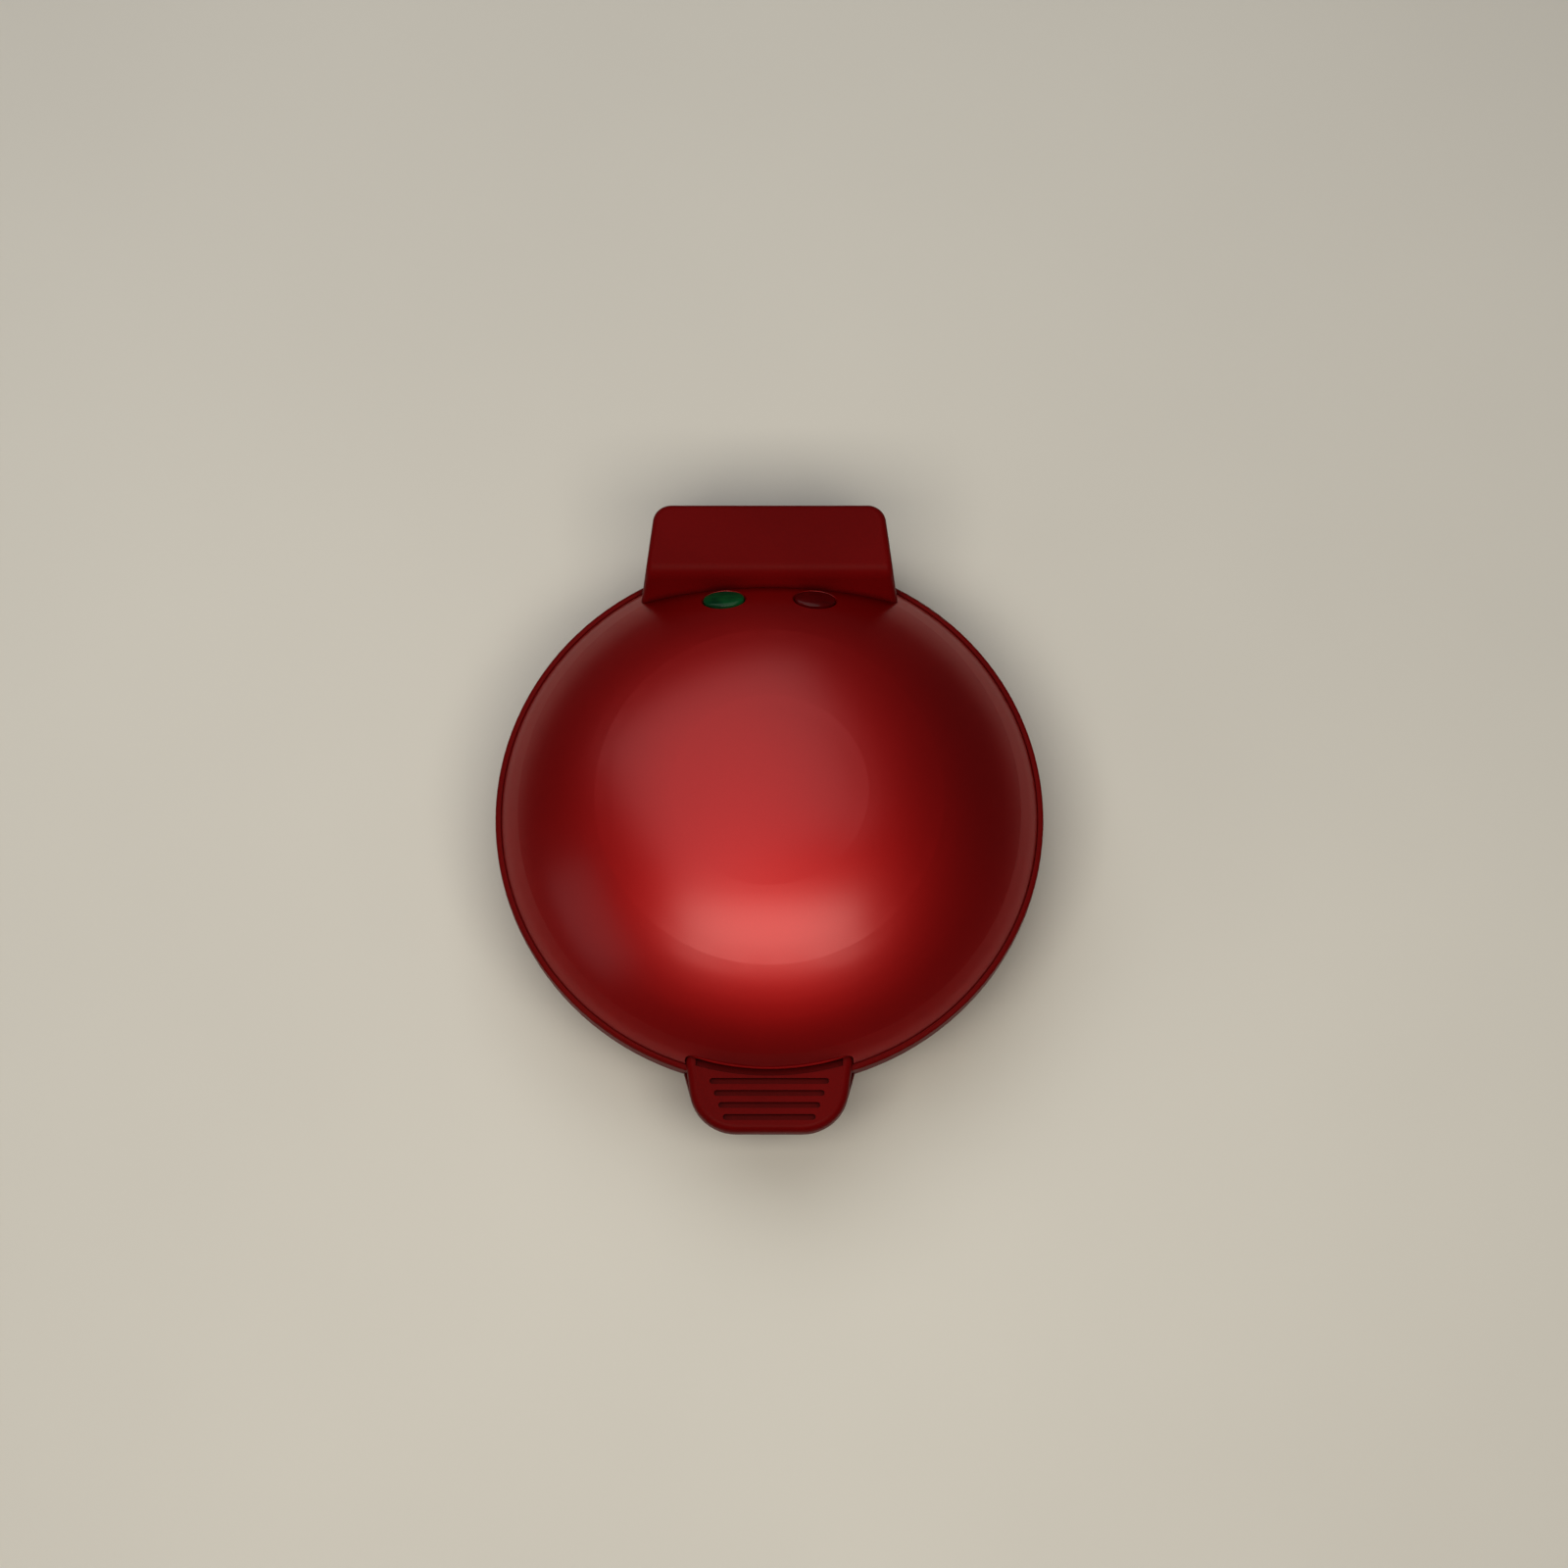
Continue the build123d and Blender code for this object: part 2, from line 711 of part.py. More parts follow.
# ---- Dome shell ----
def lens_plane(side):
    """Plane on the dome's outside at one signal light, local X level to the left, local Z outwards."""
    turn = radians(90 + side * lens_angle)
    tilt = dome_tilt(lens_circle)
    outwards = Vector(sin(tilt) * cos(turn), sin(tilt) * sin(turn), cos(tilt))
    return Plane(
        origin=(lens_circle * cos(turn), lens_circle * sin(turn), dome_height(lens_circle)),
        x_dir=outwards.cross(Vector(0, 1, 0)),
        z_dir=outwards,
    )


with BuildPart() as lid_dome:
    with BuildSketch(Plane.XZ):
        with BuildLine():
            outer_top, outer_edge = dome_curve(0)
            inner_top, inner_edge = dome_curve(dome_sheet)
            Line(inner_top, outer_top)
            Line(outer_edge, inner_edge)
        make_face()
    revolve(axis=Axis.Z)
    with BuildSketch(Plane.XZ):
        with BuildLine():
            Polyline(
                (dome_lip_inner, dome_seat_z),
                (dome_edge, dome_seat_z),
                (dome_edge, band_top_z),
                (dome_edge - dome_sheet, dome_lip_top),
                (dome_lip_inner, dome_lip_top),
                close=True,
            )
        make_face()
    revolve(axis=Axis.Z)
    add(hood_inside, mode=Mode.SUBTRACT)
    add(handle_notch, mode=Mode.SUBTRACT)
    for side in (-1, 1):
        with BuildSketch(lens_plane(side).offset(-2 * dome_sheet)):
            Ellipse(lens_half_length + fit_gap, lens_half_width + fit_gap)
        extrude(amount=4 * dome_sheet, mode=Mode.SUBTRACT)
        with BuildSketch(lens_plane(side).offset(-lens_recess)):
            Ellipse(lens_half_length + fit_gap, lens_half_width + fit_gap)
        with BuildSketch(lens_plane(side).offset(lens_recess)):
            Ellipse(lens_half_length + recess_spread, lens_half_width + recess_spread)
        loft(mode=Mode.SUBTRACT)
save(lid_dome, "lid_dome")


# ---- Screws, in the local frame of each spot: the head's seat at Z 0, the shank downwards ----
def pan_screw(length):
    """Pan-head screw standing on its seat."""
    Cylinder(head_radius, head_height, align=(Align.CENTER, Align.CENTER, Align.MIN))
    Cylinder(screw_radius, length, align=(Align.CENTER, Align.CENTER, Align.MAX))


def flat_screw(length):
    """Countersunk screw, flush with the face."""
    sink = head_radius - screw_radius
    Cone(screw_radius, head_radius, sink, align=(Align.CENTER, Align.CENTER, Align.MAX))
    Cylinder(screw_radius, length, align=(Align.CENTER, Align.CENTER, Align.MAX))


# ---- Dome clips: flat strips that hold the dome's lip down on the frame ----
with BuildPart() as dome_clips:
    for angle in dome_clip_angles:
        with BuildSketch(spot(screw_circle, angle, dome_lip_top)):
            with Locations((-dome_clip_heel, 0)):
                clip_length = dome_clip_heel + dome_clip_outer - screw_circle
                Rectangle(clip_length, clip_width, align=(Align.MIN, Align.CENTER))
            Circle(screw_radius + fit_gap, mode=Mode.SUBTRACT)
        extrude(amount=dome_clip_sheet)
save(dome_clips, "dome_clips")

with BuildPart() as dome_clip_screws:
    with Locations(*clip_spots(dome_lip_top + dome_clip_sheet)):
        pan_screw(short_screw_length + dome_clip_sheet - fit_gap)
save(dome_clip_screws, "dome_clip_screws")


# ---- Signal lights: lens, neon lamp behind it, and the holder that carries both ----
def signal_lens(side):
    """Oval lens with a retaining flange under the dome."""
    plane = lens_plane(side)
    flange_top = dome_sheet + lens_flange_sink
    with BuildPart() as lens:
        with BuildSketch(plane.offset(-lens_skirt)):
            Ellipse(lens_half_length, lens_half_width)
        extrude(amount=lens_skirt + lens_proud)
        fillet(edges().sort_by(Axis(plane.origin, plane.z_dir))[-1], lens_round)
        with BuildSketch(plane.offset(-flange_top - lens_flange_thickness)):
            Ellipse(lens_half_length + lens_flange_width, lens_half_width + lens_flange_width)
        extrude(amount=lens_flange_thickness)
    return lens


green_lens = signal_lens(1)
save(green_lens, "green_lens")
red_lens = signal_lens(-1)
save(red_lens, "red_lens")

cup_top = dome_sheet + lens_flange_sink + lens_flange_thickness + fit_gap / 2
cup_floor = cup_top + cup_depth - cup_wall
lamp_centre = cup_floor - lamp_radius - fit_gap / 2
cup_half_length = lens_half_length + cup_gap + cup_wall
cup_half_width = lens_half_width + cup_gap + cup_wall
holder_top_z = dome_height(holder_leg_circle + holder_leg + fit_gap, dome_sheet) - 2 * fit_gap


def signal_lamp(side):
    """Neon lamp lying across the bottom of its cup."""
    plane = lens_plane(side).offset(-lamp_centre)
    across = Plane(origin=plane.origin, x_dir=plane.z_dir, z_dir=plane.x_dir)
    with BuildPart() as lamp:
        with BuildSketch(across.offset(-lamp_length / 2)):
            Circle(lamp_radius)
        extrude(amount=lamp_length)
        fillet(edges().sort_by(Axis(across.origin, across.z_dir))[-1], lamp_tip_round)
    return lamp


green_lamp = signal_lamp(1)
save(green_lamp, "green_lamp")
red_lamp = signal_lamp(-1)
save(red_lamp, "red_lamp")

with BuildPart() as lamp_holders:
    for side in (-1, 1):
        with BuildSketch(lens_plane(side).offset(-cup_top - cup_depth)):
            Ellipse(cup_half_length, cup_half_width)
        extrude(amount=cup_depth)
        leg_plane = spot(holder_leg_circle, 90 + side * lens_angle, dome_seat_z)
        with BuildSketch(leg_plane):
            with Locations((holder_leg / 2, 0)):
                Rectangle(holder_leg, holder_width)
        extrude(amount=holder_top_z - dome_seat_z)
        with BuildSketch(leg_plane):
            with Locations((holder_foot / 2, 0)):
                Rectangle(holder_foot, holder_width)
        extrude(amount=holder_leg)
        with BuildSketch(leg_plane.offset(holder_top_z - holder_arm - dome_seat_z)):
            with Locations((holder_leg - holder_reach / 2, 0)):
                Rectangle(holder_reach, holder_width)
        extrude(amount=holder_arm)
    for side in (-1, 1):
        with BuildSketch(lens_plane(side).offset(-cup_floor)):
            Ellipse(cup_half_length - cup_wall, cup_half_width - cup_wall)
        extrude(amount=cup_floor, mode=Mode.SUBTRACT)
    with Locations(*lamp_spots(holder_screw_circle, dome_seat_z)):
        Cylinder(screw_radius + fit_gap, 3 * holder_leg, mode=Mode.SUBTRACT)
save(lamp_holders, "lamp_holders")

with BuildPart() as lamp_holder_screws:
    with Locations(*lamp_spots(holder_screw_circle, dome_seat_z + holder_leg)):
        pan_screw(short_screw_length)
save(lamp_holder_screws, "lamp_holder_screws")


# ---- Bezels ----
def bezel(side, outer):
    """Stepped ring that carries a plate's edge, screwed to the rim's shelf."""
    with BuildPart() as ring:
        with BuildSketch(Plane.XZ):
            with BuildLine():
                Polyline(
                    (bezel_ledge_radius, level(side, ledge_depth)),
                    (bezel_pocket, level(side, ledge_depth)),
                    (bezel_pocket, level(side, bezel_setback)),
                    (outer, level(side, bezel_setback)),
                    (outer, level(side, shelf_face)),
                    (bezel_tube_radius, level(side, shelf_face)),
                    (bezel_tube_radius, level(side, tube_end)),
                    (bezel_ledge_radius, level(side, tube_end)),
                    close=True,
                )
            make_face()
        revolve(axis=Axis.Z)
        with Locations(*bezel_spots(level(side, bezel_setback), -side)):
            CounterSinkHole(
                screw_radius + fit_gap / 2,
                head_radius + fit_gap / 2,
                2 * bezel_flange,
                counter_sink_angle=90,
            )
    return ring


base_bezel = bezel(BASE, base_band_inner - fit_gap)
save(base_bezel, "base_bezel")
lid_bezel = bezel(LID, band_inner - fit_gap)
save(lid_bezel, "lid_bezel")

with BuildPart() as base_bezel_screws:
    with Locations(*bezel_spots(level(BASE, bezel_setback), LID)):
        flat_screw(bezel_screw_length)
save(base_bezel_screws, "base_bezel_screws")

with BuildPart() as lid_bezel_screws:
    with Locations(*bezel_spots(level(LID, bezel_setback), BASE)):
        flat_screw(bezel_screw_length)
save(lid_bezel_screws, "lid_bezel_screws")


# ---- Cooking plates ----
def wedge_pocket(depth):
    """Drafted wedge with rounded corners, point towards the disc axis, mouth up at Z 0."""
    half_angle = radians(180 / wedge_count)
    half_ridge = ridge_width / 2
    run = sqrt(pocket_radius**2 - half_ridge**2)
    corner_x = run * cos(half_angle) + half_ridge * sin(half_angle)
    corner_y = run * sin(half_angle) - half_ridge * cos(half_angle)
    point_x = half_ridge / sin(half_angle)
    with BuildPart() as wedge:
        with BuildSketch(Plane.XY):
            with BuildLine():
                Polyline((corner_x, corner_y), (point_x, 0), (corner_x, -corner_y))
                ThreePointArc((corner_x, -corner_y), (pocket_radius, 0), (corner_x, corner_y))
            make_face()
            fillet(vertices(), pocket_corner)
        extrude(amount=-depth, taper=pocket_draft)
        fillet(edges().group_by(Axis.Z)[0], pocket_round)
    return wedge.part


def cooking_plate(side, depth):
    """Cast plate: flat land, sunken ridges between wedge pockets, bosses on its back."""
    back = ridge_depth + depth + pocket_floor
    pocket = wedge_pocket(depth)
    with BuildPart() as plate:
        with BuildSketch(Plane.XZ):
            with BuildLine():
                Polyline(
                    (0, level(side, ridge_depth)),
                    (recess_radius - ridge_drop, level(side, ridge_depth)),
                    (recess_radius, level(side, plate_gap)),
                    (plate_radius, level(side, plate_gap)),
                    (plate_radius, level(side, ledge_depth)),
                    (plate_body_radius, level(side, ledge_depth)),
                    (plate_body_radius, level(side, back)),
                    (0, level(side, back)),
                    close=True,
                )
            make_face()
        revolve(axis=Axis.Z)
        with Locations(*spots(0, wedge_count, 180 / wedge_count, level(side, ridge_depth), -side)):
            add(pocket, mode=Mode.SUBTRACT)
        with BuildSketch(Plane.XY.offset(level(side, back))):
            with PolarLocations(shield_boss_circle, clip_count, start_angle=180 / clip_count):
                Circle(shield_boss_radius)
        extrude(amount=side * shield_standoff)
        with Locations(*spots(clip_screw_circle, clip_count, 0, level(side, back), side)):
            Hole(screw_radius + seat_gap, plate_screw_length)
        boss_end = level(side, back + shield_standoff)
        with Locations(*spots(shield_boss_circle, clip_count, 180 / clip_count, boss_end, side)):
            Hole(screw_radius + seat_gap, plate_screw_length)
        if side == BASE:
            with Locations(*spots(thermostat_pitch / 2, 2, 0, level(side, back), side)):
                Hole(screw_radius + seat_gap, plate_screw_length)
    return plate


lower_plate = cooking_plate(BASE, lower_pocket_depth)
save(lower_plate, "lower_plate")
upper_plate = cooking_plate(LID, upper_pocket_depth)
save(upper_plate, "upper_plate")


# ---- Clips that hold each plate down in its bezel ----
def plate_clips(side, back):
    """Cranked strips from the plate's back out under the end of the bezel's tube."""
    riser = plate_body_radius + fit_gap
    grip = bezel_ledge_radius + clip_grip
    with BuildPart() as clips:
        for index in range(clip_count):
            radial = spot(0, 360 / clip_count * index, 0)
            upright = Plane(origin=(0, 0, 0), x_dir=radial.x_dir, z_dir=radial.x_dir.cross(Vector(0, 0, 1)))
            with BuildSketch(upright):
                with BuildLine():
                    Polyline(
                        (clip_inner_radius, level(side, back)),
                        (riser, level(side, back)),
                        (riser, level(side, tube_end)),
                        (grip, level(side, tube_end)),
                        (grip, level(side, tube_end + clip_sheet)),
                        (riser + clip_sheet, level(side, tube_end + clip_sheet)),
                        (riser + clip_sheet, level(side, back + clip_sheet)),
                        (clip_inner_radius, level(side, back + clip_sheet)),
                        close=True,
                    )
                make_face()
            extrude(amount=clip_width / 2, both=True)
        with Locations(*spots(clip_screw_circle, clip_count, 0, level(side, back))):
            Cylinder(screw_radius + fit_gap, 4 * clip_sheet, mode=Mode.SUBTRACT)
    return clips


def plate_screws(circle, first_angle, side, seat_depth, length):
    """Pan-head screws driven into a plate's back, heads away from the seam."""
    with BuildPart() as screws:
        with Locations(*spots(circle, clip_count, first_angle, level(side, seat_depth), side)):
            pan_screw(length)
    return screws


lower_plate_clips = plate_clips(BASE, lower_back)
save(lower_plate_clips, "lower_plate_clips")
upper_plate_clips = plate_clips(LID, upper_back)
save(upper_plate_clips, "upper_plate_clips")
lower_clip_screws = plate_screws(clip_screw_circle, 0, BASE, lower_back + clip_sheet, plate_screw_length)
save(lower_clip_screws, "lower_clip_screws")
upper_clip_screws = plate_screws(clip_screw_circle, 0, LID, upper_back + clip_sheet, upper_screw_length)
save(upper_clip_screws, "upper_clip_screws")


# ---- Heating elements ----
def heater_end(side, back, end):
    """Plane at one end of the element's ring, local Z pointing on along the tube."""
    turn = radians(90 + end * heater_gap_angle / 2)
    return Plane(
        origin=(heater_radius * cos(turn), heater_radius * sin(turn), level(side, back + heater_depth)),
        x_dir=(cos(turn), sin(turn), 0),
        z_dir=(end * sin(turn), -end * cos(turn), 0),
    )


def heater(side, back):
    """Tubular element bent into an open ring against the plate's back."""
    start_angle = 90 + heater_gap_angle / 2
    with BuildPart() as element:
        with BuildLine(Plane.XY.offset(level(side, back + heater_depth))):
            CenterArc((0, 0), heater_radius, start_angle, 360 - heater_gap_angle)
        with BuildSketch(heater_end(side, back, 1)):
            Circle(heater_tube / 2)
        sweep()
    return element


def heater_terminals(side, back):
    """Ceramic bush and terminal pin at each end of an element."""
    with BuildPart() as ends:
        for end in (-1, 1):
            with BuildSketch(heater_end(side, back, end)):
                Circle(terminal_bush_radius)
            extrude(amount=terminal_bush_length)
            with BuildSketch(heater_end(side, back, end)):
                Circle(terminal_pin_radius)
            extrude(amount=terminal_bush_length + terminal_pin_length)
    return ends


lower_heater = heater(BASE, lower_back)
save(lower_heater, "lower_heater")
upper_heater = heater(LID, upper_back)
save(upper_heater, "upper_heater")
lower_heater_terminals = heater_terminals(BASE, lower_back)
save(lower_heater_terminals, "lower_heater_terminals")
upper_heater_terminals = heater_terminals(LID, upper_back)
save(upper_heater_terminals, "upper_heater_terminals")


# ---- Heat shields: sheet discs with a channel that clamps the element ----
def heat_shield(side, back):
    """Sheet disc on the plate's bosses, notched at the back for the element's terminals."""
    flat = back + shield_standoff
    channel = back + heater_depth + heater_tube / 2 + seat_gap
    inner = heater_radius - channel_width / 2
    outer = heater_radius + channel_width / 2
    with BuildPart() as shield:
        with BuildSketch(Plane.XZ):
            with BuildLine():
                Polyline(
                    (shield_hole, level(side, flat)),
                    (inner, level(side, flat)),
                    (inner, level(side, channel)),
                    (outer, level(side, channel)),
                    (outer, level(side, flat)),
                    (shield_radius, level(side, flat)),
                    (shield_radius, level(side, flat + shield_sheet)),
                    (outer + shield_sheet, level(side, flat + shield_sheet)),
                    (outer + shield_sheet, level(side, channel + shield_sheet)),
                    (inner - shield_sheet, level(side, channel + shield_sheet)),
                    (inner - shield_sheet, level(side, flat + shield_sheet)),
                    (shield_hole, level(side, flat + shield_sheet)),
                    close=True,
                )
            make_face()
        revolve(axis=Axis.Z)
        with Locations((0, shield_radius, level(side, flat))):
            notch_length = 2 * (shield_radius - shield_notch_y)
            Box(shield_notch_width, notch_length, 6 * shield_sheet, mode=Mode.SUBTRACT)
        with Locations(*spots(shield_boss_circle, clip_count, 180 / clip_count, level(side, flat))):
            Cylinder(screw_radius + fit_gap, 4 * shield_sheet, mode=Mode.SUBTRACT)
        if side == LID:
            with Locations(*lid_block_holes(level(side, flat))):
                Cylinder(screw_radius + fit_gap, 4 * shield_sheet, mode=Mode.SUBTRACT)
    return shield


def lid_block_holes(z):
    """The two screw spots of the lid's terminal block."""
    return [Plane(origin=(end * terminal_pitch / 2, lid_block_y, z)) for end in (-1, 1)]


lower_heat_shield = heat_shield(BASE, lower_back)
save(lower_heat_shield, "lower_heat_shield")
upper_heat_shield = heat_shield(LID, upper_back)
save(upper_heat_shield, "upper_heat_shield")
lower_flat = lower_back + shield_standoff + shield_sheet
upper_flat = upper_back + shield_standoff + shield_sheet
shield_first = 180 / clip_count
lower_shield_screws = plate_screws(shield_boss_circle, shield_first, BASE, lower_flat, plate_screw_length)
save(lower_shield_screws, "lower_shield_screws")
upper_shield_screws = plate_screws(shield_boss_circle, shield_first, LID, upper_flat, plate_screw_length)
save(upper_shield_screws, "upper_shield_screws")

# ---- Thermostat under the lower plate ----
thermostat_seat = level(BASE, lower_back)
with BuildPart() as thermostat:
    with BuildSketch(Plane.XY.offset(thermostat_seat - thermostat_flange)):
        SlotOverall(thermostat_pitch + thermostat_flange_width, thermostat_flange_width)
        with GridLocations(thermostat_pitch, 0, 2, 1):
            Circle(screw_radius + fit_gap, mode=Mode.SUBTRACT)
    extrude(amount=thermostat_flange)
    with BuildSketch(Plane.XY.offset(thermostat_seat - thermostat_flange)):
        Circle(thermostat_radius)
    extrude(amount=-thermostat_height)
    with BuildSketch(Plane.XY.offset(thermostat_seat - thermostat_flange - thermostat_height)):
        with GridLocations(thermostat_radius, 0, 2, 1):
            Rectangle(thermostat_flange, thermostat_tab_width)
    extrude(amount=-thermostat_tab_height)
save(thermostat, "thermostat")

with BuildPart() as thermostat_screws:
    with Locations(*spots(thermostat_pitch / 2, 2, 0, thermostat_seat - thermostat_flange, BASE)):
        pan_screw(plate_screw_length)
save(thermostat_screws, "thermostat_screws")

# ---- Thermal fuse on the upper shield, under its saddle clip ----
fuse_turn = radians(fuse_angle)
fuse_seat = level(LID, upper_flat)
fuse_plane = Plane(
    origin=(fuse_circle * cos(fuse_turn), fuse_circle * sin(fuse_turn), fuse_seat + fuse_radius + seat_gap),
    x_dir=(cos(fuse_turn), sin(fuse_turn), 0),
    z_dir=(sin(fuse_turn), -cos(fuse_turn), 0),
)
with BuildPart() as thermal_fuse:
    with BuildSketch(fuse_plane):
        Circle(fuse_radius)
    extrude(amount=fuse_length / 2, both=True)
save(thermal_fuse, "thermal_fuse")

fuse_clip_bore = fuse_radius + seat_gap
with BuildPart() as fuse_clip:
    with BuildSketch(fuse_plane):
        Circle(fuse_clip_bore + fuse_clip_sheet)
        with Locations((0, -fuse_clip_bore)):
            Rectangle(fuse_clip_span, fuse_clip_sheet, align=(Align.CENTER, Align.MIN))
            Rectangle(fuse_clip_span, fuse_radius, align=(Align.CENTER, Align.MAX), mode=Mode.SUBTRACT)
        Circle(fuse_clip_bore, mode=Mode.SUBTRACT)
        Rectangle(
            2 * fuse_clip_bore, 2 * fuse_radius, align=(Align.CENTER, Align.MAX), mode=Mode.SUBTRACT
        )
    extrude(amount=fuse_clip_width / 2, both=True)
save(fuse_clip, "fuse_clip")


# ---- Base housing: bowl, front handle, hinge block, tower and barrel ----
def block_form(inset, bottom, top, back, front, rounded):
    """Solid of the hinge block, narrowing towards the back, shrunk by inset on its sides."""
    half_back = block_half_back - inset
    half_front = half_back + block_taper * (back - front)
    with BuildPart() as form:
        with BuildSketch(Plane.XY.offset(bottom)):
            with BuildLine():
                Polyline(
                    (-half_front, front),
                    (half_front, front),
                    (half_back, back),
                    (-half_back, back),
                    close=True,
                )
            make_face()
            fillet(vertices().group_by(Axis.Y)[-1], block_corner - inset)
        extrude(amount=top - bottom)
        if rounded:
            under = faces().sort_by(Axis.Z)[0]
            fillet(under.edges().sort_by(Axis.Y)[1:], block_bottom_round)
    return form.part


def base_handle_half(y_out):
    """Half width of the base handle, at a distance in front of the disc axis."""
    share = (y_out - shelf_inner) / (base_handle_reach - shelf_inner)
    return base_handle_half_root - (base_handle_half_root - base_handle_half_tip) * share


def base_handle_form(inset, bottom, root_y):
    """Solid of the base handle, shrunk by inset."""
    tip_y = base_handle_reach - inset
    half_root = base_handle_half(root_y) - inset
    half_tip = base_handle_half(tip_y) - inset
    top = seam_z - rim_gap - inset
    with BuildPart() as form:
        with BuildSketch(Plane.XY.offset(bottom)):
            with BuildLine():
                Polyline(
                    (-half_root, -root_y),
                    (half_root, -root_y),
                    (half_tip, -tip_y),
                    (-half_tip, -tip_y),
                    close=True,
                )
            make_face()
            fillet(vertices().group_by(Axis.Y)[0], base_handle_corner - inset)
        extrude(amount=top - bottom)
        if inset == 0:
            under = faces().sort_by(Axis.Z)[0]
            fillet(under.edges().sort_by(Axis.Y)[:-1], base_handle_round)
    return form.part


bowl_radius = ((wall_radius - bowl_floor_radius) ** 2 + (base_depth - shelf_back) ** 2) / (
    2 * (base_depth - shelf_back)
)
bowl_centre_z = foot_height + bowl_radius
bowl_turn = atan2(wall_radius - bowl_floor_radius, bowl_centre_z - level(BASE, shelf_back))


def bowl_arc(radius):
    """Bowl's rounded side in the (r, z) plane; returns its lower and upper end."""
    low = (bowl_floor_radius, bowl_centre_z - radius)
    middle = (
        bowl_floor_radius + radius * sin(bowl_turn / 2),
        bowl_centre_z - radius * cos(bowl_turn / 2),
    )
    high = (bowl_floor_radius + radius * sin(bowl_turn), bowl_centre_z - radius * cos(bowl_turn))
    ThreePointArc(low, middle, high)
    return low, high


floor_top = foot_height + bowl_wall
block_floor = block_bottom + block_wall
block_ceiling = block_top - block_wall
step_y = hinge_y - barrel_radius - rim_gap
sleeve_y = hinge_y - channel_radius - fit_gap / 2
sleeve_start_y = block_terminal_y + terminal_depth / 2 + fit_gap / 2
sleeve_start_z = block_floor + post_height + terminal_height / 2
sleeve_route = [
    (0, sleeve_start_y, sleeve_start_z),
    (0, sleeve_y, sleeve_start_z),
    (0, sleeve_y, seam_z - sleeve_rise),
    (sleeve_rise + sleeve_run_up, hinge_y, seam_z),
    (sleeve_meeting, hinge_y, seam_z),
]


def tube(route, radii, radius):
    """Round tube along straight runs joined by arcs."""
    with BuildPart() as run:
        with BuildLine() as path:
            FilletPolyline(*route, radius=radii)
        with BuildSketch(Plane(origin=route[0], z_dir=Vector(*route[1]) - Vector(*route[0]))):
            Circle(radius)
        sweep(path=path.line)
    return run


